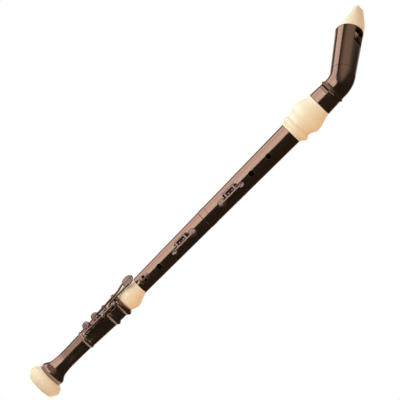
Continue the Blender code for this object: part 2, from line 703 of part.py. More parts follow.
def oval(length, width, points=20):
    return [(width / 2 * cos(2 * pi * k / points), length / 2 * sin(2 * pi * k / points)) for k in range(points)]


def middle_key(name, cup, way):
    """A key that a finger closes on the third or fourth hole: lever, pad, rod, saddle, spring and screws."""
    centre = saddle_span(cup, way)
    touch = cup + way * TOUCH_REACH
    surface = middle_radius(centre)
    seat = middle_radius(cup) + SEAT_HEIGHT
    angle = key_rod_angle(cup, way)
    axis = surface + KEY_ROD_HEIGHT
    x, y = front(axis, angle, 0).xy
    pivot = hinge(name + "_hinge", x, y, -asin(KEY_LIFT / KEY_ROD_OFFSET))
    top = seat + GAP + PAD_THICKNESS + GAP + CUP_WALL
    half = KEY_TUBE_LENGTH / 2
    tube = rod(name + "_lever", (x, y, centre - half), (x, y, centre + half), KEY_TUBE_RADIUS, sides=16)
    lever = keep(name + "_lever", on(tube, pivot), KEY_BROWN, pivot)
    lower = top - 0.9 * MM
    upper = lower + KEY_BAR_THICKNESS
    low, high = sorted((cup, touch))
    bar = block("bar", (KEY_BAR_OFFSET - KEY_BAR_WIDTH / 2, -upper, low),
                (KEY_BAR_OFFSET + KEY_BAR_WIDTH / 2, -lower, high))
    join(lever, on(bar, pivot))
    for side in (-1, 1):
        arm = centre + side * ARM_SPREAD
        join(lever, on(block("arm", (x, -upper + ARM_DROP, arm - ARM_WIDTH / 2),
                             (KEY_BAR_OFFSET, -upper + ARM_DROP + ARM_THICKNESS, arm + ARM_WIDTH / 2)), pivot))
    join(lever, on(radial(cup_mesh("cup", CUP_RADIUS, seat), 0, cup), pivot))
    lie = Matrix.Translation((TOUCH_OFFSET, -top, touch)) @ Matrix.Rotation(pi / 2, 4, "X")
    join(lever, on(plate("touch", oval(TOUCH_LENGTH, TOUCH_WIDTH), KEY_BAR_THICKNESS + 0.6 * MM, lie), pivot))
    cut(lever, on(rod("bore", (x, y, centre - half - 1 * MM), (x, y, centre + half + 1 * MM), ROD_RADIUS + GAP), pivot))
    keep(name + "_pad", on(radial(pad_mesh(name + "_pad", CUP_RADIUS, seat), 0, cup), pivot), PAD_SKIN, pivot)
    key_saddle(name + "_saddle", cup, way)
    end = half + GAP + POST_THICKNESS
    pin = keep(name + "_rod", rod(name + "_rod", (x, y, centre - end), (x, y, centre + end + GAP + 0.2 * MM), ROD_RADIUS), STEEL)
    head = centre + end + GAP
    join(pin, rod("head", (x, y, head), (x, y, head + 1 * MM), ROD_RADIUS + 0.7 * MM))
    cut(pin, block("slot", (x - 3 * MM, y - 0.3 * MM, head + 0.5 * MM), (x + 3 * MM, y + 0.3 * MM, head + 2 * MM)))
    under_arm = -upper + ARM_DROP + ARM_THICKNESS + GAP + SPRING_RADIUS
    spring_line = [(x + SPRING_OFFSET, under_arm, centre + way * reach) for reach in (half, SPRING_END)]
    keep(name + "_spring", wire(name + "_spring", spring_line, SPRING_RADIUS), STEEL)
    for number, height in enumerate(saddle_screws(cup, way), 1):
        plate_top = middle_radius(centre) + GAP + SADDLE_PLATE
        screw(f"{name}_screw_{number}", plate_top, height, saddle_screw_angle(cup, way))
    return pivot


def foot_post(name, height):
    """A ball-headed pillar let into the foot, with the rod's hole across its head."""
    base = post_base(height)
    post = keep(name, rod(name, front(base, FOOT_ROD_ANGLE, height), front(FOOT_ROD_RADIUS, FOOT_ROD_ANGLE, height),
                          POST_STEM_RADIUS), STEEL)
    join(post, ball("post_head", front(FOOT_ROD_RADIUS, FOOT_ROD_ANGLE, height), POST_HEAD_RADIUS, sides=16))
    hole = front(FOOT_ROD_RADIUS, FOOT_ROD_ANGLE, height)
    cut(post, rod("rod_hole", hole - Vector((0, 0, 6 * MM)), hole + Vector((0, 0, 6 * MM)), ROD_RADIUS + GAP))
    return post


def foot_tube(name, low, high, pivot):
    line = front(FOOT_ROD_RADIUS, FOOT_ROD_ANGLE, 0)
    tube = rod(name, line + Vector((0, 0, low)), line + Vector((0, 0, high)), KEY_TUBE_RADIUS, sides=16)
    return keep(name, on(tube, pivot), KEY_BROWN, pivot)


def bore_foot_tube(piece, low, high, pivot):
    line = front(FOOT_ROD_RADIUS, FOOT_ROD_ANGLE, 0)
    cut(piece, on(rod("bore", line + Vector((0, 0, low - 1 * MM)), line + Vector((0, 0, high + 1 * MM)),
                      ROD_RADIUS + GAP), pivot))


def half_touch(name, side):
    """One half of the oval touch; side is 1 for the left half and -1 for the right half."""
    points = 14
    outline = []
    for k in range(points + 1):
        a = -pi / 2 + pi * k / points
        outline.append((-side * (GAP + (FOOT_TOUCH_WIDTH / 2 - GAP) * cos(a)), FOOT_TOUCH_LENGTH / 2 * sin(a)))
    orbit = FOOT_LEVER_ORBIT - 0.4 * MM
    lie = Matrix.Rotation(FOOT_TOUCH_ANGLE, 4, "Z") @ Matrix.Translation((-FOOT_TOUCH_SHIFT, -orbit, FOOT_TOUCH))
    return plate(name, outline, FOOT_TOUCH_THICKNESS, lie @ Matrix.Rotation(pi / 2, 4, "X"))


def lever_line(stations):
    """Points along a lever from stations of angle in degrees, distance from the body axis and height in mm."""
    return [front(orbit * MM, radians(angle), height * MM) for angle, orbit, height in through(stations, 3)]


def foot_cup(piece, height, angle, radius, pivot):
    seat = foot_seat(height)
    top = seat + GAP + PAD_THICKNESS + GAP + CUP_WALL
    join(piece, on(radial(cup_mesh("cup", radius, seat), angle, height), pivot))
    near = front(FOOT_ROD_RADIUS, FOOT_ROD_ANGLE, height)
    join(piece, on(rod("arm", near, front(top + 1 * MM, angle, height), FOOT_ARM_RADIUS), pivot))


def foot_keys():
    """Two little-finger keys on one rod: the lower one turns with the rod, the other one on it."""
    x, y = front(FOOT_ROD_RADIUS, FOOT_ROD_ANGLE, 0).xy
    reach = (front(FOOT_ROD_RADIUS, FOOT_ROD_ANGLE, 0) - front(foot_seat(SHARP_CUP), SHARP_CUP_ANGLE, 0)).length
    opening = asin(FOOT_LIFT / reach)
    low_key = hinge("low_key_hinge", x, y, opening)
    sharp_key = hinge("sharp_key_hinge", x, y, opening)
    clear = POST_HEAD_RADIUS + GAP
    split = LOW_CUP + LOW_CUP_RADIUS + 1 * MM
    orbit = FOOT_LEVER_ORBIT / MM
    line = BALL_BOTTOM / MM

    low, high = FOOT_POST_MIDDLE + clear, FOOT_POST_TOP - clear
    lever = foot_tube("low_key_lever", low, high, low_key)
    route = lever_line([(-33, orbit, line + 30), (-33, orbit, line + 16), (-33.5, orbit, line - 8),
                        (-33, orbit - 0.6, line - 17), (-26, orbit - 1, line - 22)])
    join(lever, on(wire("lever", route, FOOT_LEVER_RADIUS), low_key))
    join(lever, on(half_touch("touch", -1), low_key))
    bore_foot_tube(lever, low, high, low_key)

    low, high = FOOT_POST_BOTTOM + clear, split
    arm = foot_tube("low_key_cup", low, high, low_key)
    foot_cup(arm, LOW_CUP, LOW_CUP_ANGLE, LOW_CUP_RADIUS, low_key)
    bore_foot_tube(arm, low, high, low_key)

    low, high = split + GAP, FOOT_POST_MIDDLE - clear
    sharp = foot_tube("sharp_key_lever", low, high, sharp_key)
    route = lever_line([(-58, orbit + 0.4, line + 29), (-52, orbit + 0.2, line + 18), (-46.5, orbit, line + 8),
                        (-45, orbit, line - 7), (-44, orbit - 1, line - 24), (-44, orbit - 2, line - 41),
                        (-47, orbit - 3, line - 51)])
    join(sharp, on(wire("lever", route, FOOT_LEVER_RADIUS), sharp_key))
    join(sharp, on(half_touch("touch", 1), sharp_key))
    foot_cup(sharp, SHARP_CUP, SHARP_CUP_ANGLE, SHARP_CUP_RADIUS, sharp_key)
    bore_foot_tube(sharp, low, high, sharp_key)

    for name, height, angle, radius, pivot in (
            ("low_key_pad", LOW_CUP, LOW_CUP_ANGLE, LOW_CUP_RADIUS, low_key),
            ("sharp_key_pad", SHARP_CUP, SHARP_CUP_ANGLE, SHARP_CUP_RADIUS, sharp_key)):
        pad = radial(pad_mesh(name, radius, foot_seat(height)), angle, height)
        keep(name, on(pad, pivot), PAD_SKIN, pivot)
    bar = rod("foot_key_rod", (x, y, FOOT_POST_BOTTOM - POST_HEAD_RADIUS), (x, y, FOOT_POST_TOP + POST_HEAD_RADIUS),
              ROD_RADIUS)
    keep("foot_key_rod", on(bar, low_key), STEEL, low_key)
    for name, height in (("foot_post_top", FOOT_POST_TOP), ("foot_post_middle", FOOT_POST_MIDDLE),
                         ("foot_post_bottom", FOOT_POST_BOTTOM)):
        foot_post(name, height)


def foot_springs():
    """Needle springs from the middle post, one towards each key's arm."""
    line = FOOT_ROD_RADIUS - 3.6 * MM
    for name, start, end in (
            ("low_key_spring", FOOT_POST_MIDDLE + POST_STEM_RADIUS + GAP, FOOT_POST_MIDDLE + 19 * MM),
            ("sharp_key_spring", FOOT_POST_MIDDLE - POST_STEM_RADIUS - GAP, FOOT_POST_MIDDLE - 14 * MM)):
        near = front(line, FOOT_ROD_ANGLE, start)
        far = front(line, FOOT_ROD_ANGLE - radians(7), end)
        keep(name, wire(name, [near, far], SPRING_RADIUS), STEEL)


def head_place():
    """From the head's own upright coordinates, window in front, to where the head sits."""
    return Matrix.Translation((0, 0, BEND_HEIGHT)) @ Matrix.Rotation(HEAD_TURN, 4, "Z") @ Matrix.Rotation(
        -BEND_ANGLE, 4, "X")


def bend_line(start, end):
    """The bend's middle line from a height on the body axis to a length along the head axis."""
    tangent = BEND_RADIUS * (1 - cos(BEND_ANGLE)) / sin(BEND_ANGLE)
    lean = Vector((-sin(HEAD_TURN), cos(HEAD_TURN), 0))
    up = Vector((0, 0, 1))
    corner = up * (BEND_HEIGHT - tangent)
    points = [up * start]
    parts = 7
    for k in range(parts + 1):
        a = BEND_ANGLE * k / parts
        points.append(corner + lean * BEND_RADIUS * (1 - cos(a)) + up * BEND_RADIUS * sin(a))
    points.append(head_place() @ Vector((0, 0, end)))
    return points


def elbow():
    socket = TOP_TENON_RADIUS + GAP
    spigot = socket + SOCKET_WALL
    base = MIDDLE_TOP + RING_LIP + GAP
    floor = MIDDLE_TOP + TOP_TENON_LENGTH + GAP
    foot_radius = ELBOW_RADIUS + 1.6 * MM
    low = FERRULE_TOP
    outline = [(0, low + 40 * MM), (ELBOW_RADIUS + 0.3 * MM, low + 40 * MM)]
    outline += bead(low + 36.5 * MM, low + 30 * MM, ELBOW_RADIUS + 0.5 * MM, 2 * MM)
    for groove in (28.0, 24.5):
        z = low + groove * MM
        outline += [(ELBOW_RADIUS + 0.8 * MM, z + 0.7 * MM), (ELBOW_RADIUS + 0.2 * MM, z),
                    (ELBOW_RADIUS + 0.8 * MM, z - 0.7 * MM)]
    outline += [(foot_radius, low + 3 * MM), (foot_radius, low + GAP), (spigot, low + GAP), (spigot, base), (0, base)]
    piece = keep("elbow", turned("elbow", outline), DARK)
    line = bend_line(low + 32 * MM, HEAD_SEAM)
    widen = (HEAD_RADIUS_BOTTOM - ELBOW_RADIUS) / ELBOW_RADIUS
    factors = [1 + widen * k / (len(line) - 1) for k in range(len(line))]
    join(piece, wire("bend", line, ELBOW_RADIUS, STEPS, factors))
    tenon = HEAD_TENON_RADIUS
    top = HEAD_SEAM + HEAD_TENON_LENGTH
    outline = [(0, top), (tenon, top)] + cork_groove(tenon, HEAD_SEAM, top)
    outline += [(tenon, HEAD_SEAM - 3 * MM), (0, HEAD_SEAM - 3 * MM)]
    spout = turned("spout", outline)
    spout.transform(head_place())
    join(piece, spout)
    cut(piece, rod("socket", (0, 0, base - 5 * MM), (0, 0, floor), socket, sides=STEPS))
    cut(piece, wire("air_way", bend_line(floor - 2 * MM, top + 5 * MM), ELBOW_BORE, STEPS))
    inner = spigot + GAP
    rim = middle_radius(MIDDLE_TOP) + 0.7 * MM
    swell = through([
        (foot_radius - 0.1 * MM, FERRULE_TOP), (mix(foot_radius, FERRULE_RADIUS, 0.18), FERRULE_TOP - 8 * MM),
        (mix(foot_radius, FERRULE_RADIUS, 0.5), FERRULE_TOP - 15.5 * MM),
        (mix(foot_radius, FERRULE_RADIUS, 0.88), FERRULE_TOP - 24.5 * MM), (FERRULE_RADIUS, FERRULE_TOP - 32.5 * MM),
        (mix(foot_radius, FERRULE_RADIUS, 0.9), FERRULE_TOP - 38 * MM),
        (mix(foot_radius, FERRULE_RADIUS, 0.4), FERRULE_TOP - 44.5 * MM),
        (mix(foot_radius, FERRULE_RADIUS, 0.16), FERRULE_TOP - 50 * MM)], 2)
    swell += bead(FERRULE_TOP - 53.5 * MM, MIDDLE_TOP + 5 * MM, rim + 2.4 * MM, 4 * MM)
    outline = swell + [(rim, MIDDLE_TOP + 3 * MM), (rim, MIDDLE_TOP)]
    outline += [(socket, MIDDLE_TOP), (socket, MIDDLE_TOP + RING_LIP), (inner, MIDDLE_TOP + RING_LIP), (inner, FERRULE_TOP)]
    keep("neck_ferrule", turned("neck_ferrule", outline), IVORY)
    return piece


def beak_mesh():
    """The beak: round where it meets the head, flat at the mouth, cut away on the player's side."""
    start = HEAD_RIM + GAP
    full = HEAD_RADIUS_TOP - 0.4 * MM
    stations = through([
        (start, full, full, -full, 1), (start + 0.07 * BEAK_LENGTH, full - 0.2 * MM, full - 0.1 * MM, -0.72 * full, 1),
        (start + 0.25 * BEAK_LENGTH, 0.93 * full, 0.985 * full, -0.36 * full, 0.95),
        (start + 0.47 * BEAK_LENGTH, 0.78 * full, 0.94 * full, -0.04 * full, 0.85),
        (start + 0.72 * BEAK_LENGTH, 0.6 * full, mix(full, TIP_TOP, 0.62), mix(0, TIP_BOTTOM, 0.55), 0.7),
        (start + 0.96 * BEAK_LENGTH, TIP_HALF_WIDTH + 1 * MM, TIP_TOP + 0.4 * MM, TIP_BOTTOM - 0.7 * MM, 0.5),
        (start + BEAK_LENGTH, TIP_HALF_WIDTH, TIP_TOP - 0.4 * MM, TIP_BOTTOM + 0.5 * MM, 0.5)], 2)
    mesh = bpy.data.meshes.new("beak")
    bm = bmesh.new()
    rings = []
    for z, half, top, bottom, power in stations:
        middle = (top + bottom) / 2
        height = (top - bottom) / 2
        section = []
        for k in range(STEPS):
            side = sin(2 * pi * k / STEPS)
            lift = cos(2 * pi * k / STEPS)
            x = half * copysign(abs(side) ** power, side)
            section.append(bm.verts.new((x, -middle - height * copysign(abs(lift) ** power, lift), z)))
        rings.append(section)
    for lower, upper in zip(rings, rings[1:]):
        for k in range(STEPS):
            bm.faces.new((lower[k], lower[(k + 1) % STEPS], upper[(k + 1) % STEPS], upper[k]))
    bm.faces.new(rings[0])
    bm.faces.new(rings[-1])
    bmesh.ops.recalc_face_normals(bm, faces=bm.faces)
    bm.to_mesh(mesh)
    bm.free()
    return mesh


def head():
    """Head tube, block and beak in the head's own upright coordinates, under an empty on the head axis."""
    place = bpy.data.objects.new("head_place", None)
    PIECES.objects.link(place)
    place.matrix_world = head_place()
    socket = HEAD_TENON_RADIUS + GAP
    base = HEAD_SEAM + GAP
    floor = HEAD_SEAM + HEAD_TENON_LENGTH + GAP
    flare = 0.5 * MM
    outline = [(HEAD_RADIUS_TOP, HEAD_RIM), (HEAD_RADIUS_TOP + flare, HEAD_RIM - 0.8 * MM),
               (HEAD_RADIUS_TOP + flare, HEAD_RIM - 2.5 * MM), (HEAD_RADIUS_TOP, HEAD_RIM - 6 * MM)]
    outline += [(HEAD_RADIUS_BOTTOM, base), (socket, base), (socket, floor), (HEAD_BORE, floor), (HEAD_BORE, HEAD_RIM)]
    tube = keep("head_tube", turned("head_tube", outline), DARK, place)
    window_top = HEAD_RIM - WINDOW_BRIDGE
    window_low = window_top - WINDOW_LENGTH
    side = WINDOW_WIDTH / 2
    cut(tube, block("window", (-side, -40 * MM, window_low), (side, -5 * MM, window_top)))
    surface = HEAD_RADIUS_TOP - 0.2 * MM
    drop = surface - HEAD_BORE - LABIUM_EDGE
    ramp = Matrix.Translation((0, -surface, window_low - LABIUM_LENGTH)) @ Matrix.Rotation(
        -asin(drop / hypot(drop, LABIUM_LENGTH)), 4, "X")
    cut(tube, block("labium", (-side, -15 * MM, -2 * MM), (side, 0, hypot(drop, LABIUM_LENGTH) + 4 * MM), ramp))
    cut(tube, block("under_labium", (-side, -HEAD_BORE, window_low - 15 * MM), (side, -8 * MM, window_low + 1 * MM)))
    roof = HEAD_BORE - GAP
    ledge = roof - WINDWAY_HEIGHT
    half = WINDWAY_WIDTH / 2
    cut(tube, block("windway", (-half, -HEAD_BORE, window_top - 1 * MM), (half, -8 * MM, HEAD_RIM + 1 * MM)))

    tongue_low = ledge - TONGUE_THICKNESS
    tongue_end = HEAD_RIM + TONGUE_LENGTH
    plug = keep("windway_block", rod("windway_block", (0, 0, window_top), (0, 0, HEAD_RIM - GAP), roof, sides=STEPS),
                IVORY, place)
    cut(plug, block("floor", (-30 * MM, -40 * MM, 0), (30 * MM, -ledge, HEAD_RIM + 20 * MM)))
    join(plug, block("tongue", (-half, -ledge, window_top + 1 * MM), (half, -tongue_low, tongue_end)))

    cap = keep("beak", beak_mesh(), IVORY, place)
    cut(cap, block("pocket", (-half - GAP, -roof, HEAD_RIM - 5 * MM), (half + GAP, -tongue_low + GAP, tongue_end + GAP)))
    slot = TIP_SLOT / 2
    cut(cap, block("slot", (-slot, -roof, tongue_end - 1 * MM), (slot, -ledge, HEAD_RIM + BEAK_LENGTH + 9 * MM)))
    cork_ring("head_tenon_cork", HEAD_TENON_RADIUS, HEAD_SEAM, HEAD_SEAM + HEAD_TENON_LENGTH, place)


def strap_eye():
    """Eye plate at the back with the ring that a neck strap hooks into."""
    low, high = STRAP_EYE - 15 * MM, STRAP_EYE + 5 * MM
    plate_piece = curved_plate("strap_eye", low, high, -5 * MM, 5 * MM, SADDLE_PLATE, pi, STEEL)
    centre = middle_radius(STRAP_EYE) + STRAP_EYE_HEIGHT
    root = middle_radius(STRAP_EYE) + GAP + SADDLE_PLATE / 2
    half = 1.4 * MM
    join(plate_piece, block("stem", (-half, root, STRAP_EYE - 2 * MM), (half, centre, STRAP_EYE + 2 * MM)))
    join(plate_piece, rod("eye", (-half, centre, STRAP_EYE), (half, centre, STRAP_EYE), STRAP_EYE_HOLE + 1.6 * MM,
                          sides=FINE))
    cut(plate_piece, rod("hole", (-9 * MM, centre, STRAP_EYE), (9 * MM, centre, STRAP_EYE), STRAP_EYE_HOLE))
    cut(plate_piece, rod("screw_hole", (0, 5 * MM, STRAP_SCREW), (0, 40 * MM, STRAP_SCREW), SCREW_RADIUS + GAP))
    screw("strap_screw", middle_radius(STRAP_SCREW) + GAP + SADDLE_PLATE, STRAP_SCREW, pi)
    loop = bpy.data.curves.new("strap_ring", "CURVE")
    loop.dimensions = "3D"
    loop.bevel_depth = STRAP_WIRE_RADIUS
    loop.bevel_resolution = 2
    spline = loop.splines.new("POLY")
    count = 28
    spline.points.add(count - 1)
    for k in range(count):
        a = 2 * pi * k / count
        spline.points[k].co = (STRAP_RING_RADIUS * sin(a), 0, STRAP_RING_RADIUS * (cos(a) - 1), 1)
    spline.use_cyclic_u = True
    blank = bpy.data.objects.new("strap_ring_blank", loop)
    TOOLS.objects.link(blank)
    ring_piece = keep("strap_ring", bake(blank, "strap_ring"), STEEL)
    ring_piece.location = (0, centre, STRAP_EYE)


def thumb_rest():
    """Hook at the back for the right thumb."""
    low, high = THUMB_REST - THUMB_REST_LENGTH / 2, THUMB_REST + THUMB_REST_LENGTH / 2
    half = THUMB_REST_WIDTH / 2
    rest = curved_plate("thumb_rest", low, high, -half, half, THUMB_REST_PLATE, pi, DARK)
    surface = middle_radius(high)
    hook = wire("hook", [(0, surface + 1.6 * MM, high - 2 * MM), (0, surface + 0.5 * THUMB_REST_HOOK, high - 1.6 * MM),
                         (0, surface + 0.85 * THUMB_REST_HOOK, high - 3.6 * MM),
                         (0, surface + THUMB_REST_HOOK, high - 7 * MM)], 1.6 * MM)
    hook.transform(Matrix.Diagonal((half / (1.6 * MM) * 0.86, 1, 1, 1)))
    join(rest, hook)
    cut(rest, rod("screw_hole", (0, 5 * MM, THUMB_REST), (0, 40 * MM, THUMB_REST), SCREW_RADIUS + GAP))
    screw("thumb_rest_screw", middle_radius(THUMB_REST) + GAP + THUMB_REST_PLATE, THUMB_REST, pi)


clear_scene()
PIECES = collection("bass_recorder")
TOOLS = collection("shaping_tools")
foot_body()
foot_rings()
lower_tube()
upper_tube()
elbow()
head()
middle_key("upper_key", THIRD_CUP, 1)
middle_key("lower_key", FOURTH_CUP, -1)
foot_keys()
foot_springs()
strap_eye()
thumb_rest()
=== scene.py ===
# %% [markdown]
# # A bass recorder, piece by piece
# A bass recorder is a wooden or plastic flute nearly a metre long. Its head is bent back so that the
# player's mouth can reach the beak while the fingers reach the holes. This lesson dresses a packed
# mechanical model of one: every turned joint, ring, key and rod is modelled again with a fine surface
# and gets a finish of its own. The lengths are in metres, +Z runs up the body, and the finger holes
# face -Y.

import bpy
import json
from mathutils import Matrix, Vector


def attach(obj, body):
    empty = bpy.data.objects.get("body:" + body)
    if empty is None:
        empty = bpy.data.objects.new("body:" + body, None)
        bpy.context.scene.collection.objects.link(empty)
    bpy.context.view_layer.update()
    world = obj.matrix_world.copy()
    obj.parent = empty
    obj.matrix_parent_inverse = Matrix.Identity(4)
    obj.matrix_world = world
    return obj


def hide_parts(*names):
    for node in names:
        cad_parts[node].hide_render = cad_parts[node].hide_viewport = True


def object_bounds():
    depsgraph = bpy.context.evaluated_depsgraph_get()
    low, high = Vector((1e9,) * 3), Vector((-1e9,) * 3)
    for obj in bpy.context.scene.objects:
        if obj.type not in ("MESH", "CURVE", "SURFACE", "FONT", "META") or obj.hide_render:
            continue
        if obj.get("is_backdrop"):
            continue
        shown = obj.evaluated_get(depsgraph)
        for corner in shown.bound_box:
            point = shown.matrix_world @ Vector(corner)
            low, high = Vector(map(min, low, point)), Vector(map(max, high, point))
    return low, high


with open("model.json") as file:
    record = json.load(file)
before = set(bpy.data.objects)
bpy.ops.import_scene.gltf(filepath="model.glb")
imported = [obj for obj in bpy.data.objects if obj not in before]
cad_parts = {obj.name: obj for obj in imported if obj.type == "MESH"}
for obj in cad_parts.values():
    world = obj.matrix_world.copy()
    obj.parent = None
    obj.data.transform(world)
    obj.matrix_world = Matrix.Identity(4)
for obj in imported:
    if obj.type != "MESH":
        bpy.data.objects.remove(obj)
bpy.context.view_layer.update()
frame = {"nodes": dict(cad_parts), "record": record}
print("nodes in the frame:", len(frame["nodes"]))

# %% Names used all through the lesson
import json
from math import asin, copysign, cos, hypot, pi, radians, sin, tan

import bpy
from mathutils import Matrix, Vector

MM = 0.001


def add(operator, name, **settings):
    """Adds an object with nothing else selected, and names it."""
    bpy.ops.object.select_all(action="DESELECT")
    operator(**settings)
    made = bpy.context.object
    made.name = name
    return made


GAP = 0.3 * MM
CAD = frame["nodes"]

# %% [markdown]
# ## The camera
# In the picture the instrument lies across the frame from lower left to upper right. It stands
# upright here, so the camera is rolled instead. The edges of the rings tell where the camera stood:
# the bell's rim shows a clear curve, the rings of the neck are nearly straight lines. So the lens was
# level with the neck and looked down a little on the foot, from a few metres away.

# %% Camera at the photograph's angle
PHOTO_PIXELS = 400
METRES_PER_PIXEL = 1.82 * MM
CAMERA_DISTANCE = 4.0
CAMERA_RISE = radians(4.0)
LEAN = radians(44.72)
AIM = Vector((-32.0 * MM, 0, 450.0 * MM))

towards_camera = Vector((0, -cos(CAMERA_RISE), sin(CAMERA_RISE)))
level, upright = Vector((1, 0, 0)), Vector((0, sin(CAMERA_RISE), cos(CAMERA_RISE)))
picture_right = level * cos(LEAN) + upright * sin(LEAN)
picture_up = upright * cos(LEAN) - level * sin(LEAN)
camera = add(bpy.ops.object.camera_add, "photo_camera", location=AIM + towards_camera * CAMERA_DISTANCE)
turn = Matrix((picture_right, picture_up, towards_camera)).transposed()
camera.matrix_world = Matrix.Translation(camera.location) @ turn.to_4x4()
camera.data.sensor_fit = "HORIZONTAL"
camera.data.sensor_width = 36.0
camera.data.lens = 36.0 * CAMERA_DISTANCE / (PHOTO_PIXELS * METRES_PER_PIXEL)
camera.data.clip_end = 50.0
bpy.context.scene.camera = camera
print("lens", round(camera.data.lens, 1), "mm")

# %% [markdown]
# ## Studio light
# Glossy dark plastic is drawn mostly by what it mirrors. The photograph has one broad soft light on
# the left, which lies as a warm stripe on the left half of each tube, and next to nothing on the
# right, which stays nearly black. Two tall soft boxes stand side by side on the left for that. They
# end near the floor, and a dimmer one below them keeps the stripe going down to the bell.

# %% Soft boxes
LAMP_DISTANCE = 2.4


def soft_box(name, angle, half_angle, low, high, radiance, colour):
    """An upright panel, at an angle to the left of the camera, as wide as its half angle asks."""
    width = 2 * LAMP_DISTANCE * tan(half_angle)
    lamp = add(bpy.ops.object.light_add, name, type="AREA", rotation=(pi / 2, 0, -angle),
               location=(-LAMP_DISTANCE * sin(angle), -LAMP_DISTANCE * cos(angle), (low + high) / 2))
    lamp.data.shape = "RECTANGLE"
    lamp.data.size = width
    lamp.data.size_y = high - low
    lamp.data.energy = radiance * pi * width * (high - low)
    lamp.data.color = colour
    print(name, round(lamp.data.energy, 1), "W")


soft_box("left_front_box", radians(46.0), radians(22.0), -0.25, 1.3, 2.55, (0.97, 0.98, 0.98))
soft_box("left_side_box", radians(97.0), radians(29.0), -0.25, 1.3, 2.1, (1.0, 0.98, 0.96))
soft_box("left_low_box", radians(75.0), radians(45.0), -1.2, -0.25, 1.2, (1.0, 0.97, 0.93))

# %% [markdown]
# ## White surroundings
# The background of the photograph is plain white, and no wall or table shows. The world is white to
# the camera. A polished surface sees the same white backdrop behind the instrument, a dimmer ceiling
# and an unlit room in front. Everything else gets an even room light that is warmer on the right,
# which gives the ivory rings the honey tone of their shadow side.

# %% Helpers for shader nodes
def node(tree, kind, inputs={}, **settings):
    """Adds a node; each input gets a number, a colour or the output that feeds it."""
    made = tree.nodes.new("ShaderNode" + kind)
    for name, value in settings.items():
        setattr(made, name, value)
    fill(tree, made, inputs)
    return made


def fill(tree, shader, inputs):
    for name, value in inputs.items():
        if isinstance(value, bpy.types.NodeSocket):
            tree.links.new(value, shader.inputs[name])
        else:
            shader.inputs[name].default_value = value


def map_range(tree, source, start, end, low, high, kind="SMOOTHSTEP"):
    """Goes from one value to another while the source goes from start to end."""
    return node(tree, "MapRange", {"Value": source, "From Min": start, "From Max": end, "To Min": low,
                                   "To Max": high}, interpolation_type=kind).outputs["Result"]


def combine(tree, operation, first, second):
    return node(tree, "Math", {0: first, 1: second}, operation=operation).outputs[0]


def mix_shaders(tree, share, first, second):
    return node(tree, "MixShader", {0: share, 1: first.outputs[0], 2: second.outputs[0]})


def is_ray(tree, *kinds):
    """1 for any of the named outputs of Light Path."""
    path = node(tree, "LightPath").outputs
    mask = path[kinds[0]]
    for kind in kinds[1:]:
        mask = combine(tree, "MAXIMUM", mask, path[kind])
    return mask


# %% The world
bpy.context.scene.view_settings.view_transform = "Standard"
world = bpy.context.scene.world or bpy.data.worlds.new("studio")
bpy.context.scene.world = world
world.use_nodes = True
tree = world.node_tree
tree.nodes.clear()
direction = node(tree, "SeparateXYZ", {0: node(tree, "TexCoord").outputs["Generated"]}).outputs

white = node(tree, "Background", {"Color": (1, 1, 1, 1), "Strength": 1.0})
backdrop = map_range(tree, direction["Y"], 0.7, 0.95, 0.03, 1.0)
ceiling = combine(tree, "MULTIPLY", map_range(tree, direction["Z"], 0.2, 0.7, 0.0, 0.6),
                  map_range(tree, direction["X"], -0.35, 0.35, 1.0, 0.1))
mirrored = node(tree, "Background", {"Color": (1.0, 0.92, 0.8, 1),
                                     "Strength": combine(tree, "MAXIMUM", backdrop, ceiling)})
tone = node(tree, "Mix", {"Factor": map_range(tree, direction["X"], -1, 1, 0, 1, "LINEAR"),
                          "A": (0.24, 0.46, 0.58, 1), "B": (1.12, 0.74, 0.44, 1)}, data_type="RGBA")
room = node(tree, "Background", {"Color": tone.outputs["Result"]})
lit = mix_shaders(tree, is_ray(tree, "Is Glossy Ray"), room, mirrored)
seen = mix_shaders(tree, is_ray(tree, "Is Camera Ray", "Is Transmission Ray"), lit, white)
node(tree, "OutputWorld", {"Surface": seen.outputs[0]})
print("the world is white to the camera")

# %% White floor
FLOOR_SIZE, FLOOR_DROP = 0.5, 0.4 * MM
floor_white = bpy.data.materials.new("floor_white")
floor_white.use_nodes = True
tree = floor_white.node_tree
tree.nodes.clear()
plain = node(tree, "BsdfDiffuse", {"Color": (0.8, 0.8, 0.8, 1)})
glow = node(tree, "Emission", {"Strength": 0.56})
bright = node(tree, "AddShader", {0: glow.outputs[0], 1: plain.outputs[0]})
for_mirrors = is_ray(tree, "Is Camera Ray", "Is Glossy Ray", "Is Transmission Ray")
node(tree, "OutputMaterial", {"Surface": mix_shaders(tree, for_mirrors, plain, bright).outputs[0]})

floor = add(bpy.ops.mesh.primitive_plane_add, "floor", size=FLOOR_SIZE, location=(0, 0, -FLOOR_DROP))
bpy.ops.object.transform_apply(location=True, rotation=True, scale=True)
floor.data.materials.append(floor_white)
floor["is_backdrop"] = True
print("the floor keeps the shadow")

# %% [markdown]
# ## Turning
# Nearly every piece of a recorder comes off a lathe, so the main tool of this lesson is a lathe: one
# vertex is extruded along an outline in edit mode, and Spin sweeps it round the axis. Spin gives an
# even surface with as many sides as wanted and keeps each groove exactly where it was drawn. A
# subdivided cylinder would have to be scaled ring by ring.

# %% The lathe
ROUND = 96


def only(piece):
    bpy.ops.object.select_all(action="DESELECT")
    piece.select_set(True)
    bpy.context.view_layer.objects.active = piece
    return piece


def settle(piece):
    """Leaves the object at the origin, unturned, with its place in its mesh."""
    only(piece)
    bpy.ops.object.transform_apply(location=True, rotation=True, scale=True)
    return piece


def tidy_mesh(piece):
    only(piece)
    bpy.ops.object.mode_set(mode="EDIT")
    bpy.ops.mesh.select_all(action="SELECT")
    bpy.ops.mesh.remove_doubles(threshold=0.000002)
    bpy.ops.mesh.normals_make_consistent(inside=False)
    bpy.ops.object.mode_set(mode="OBJECT")
    return piece


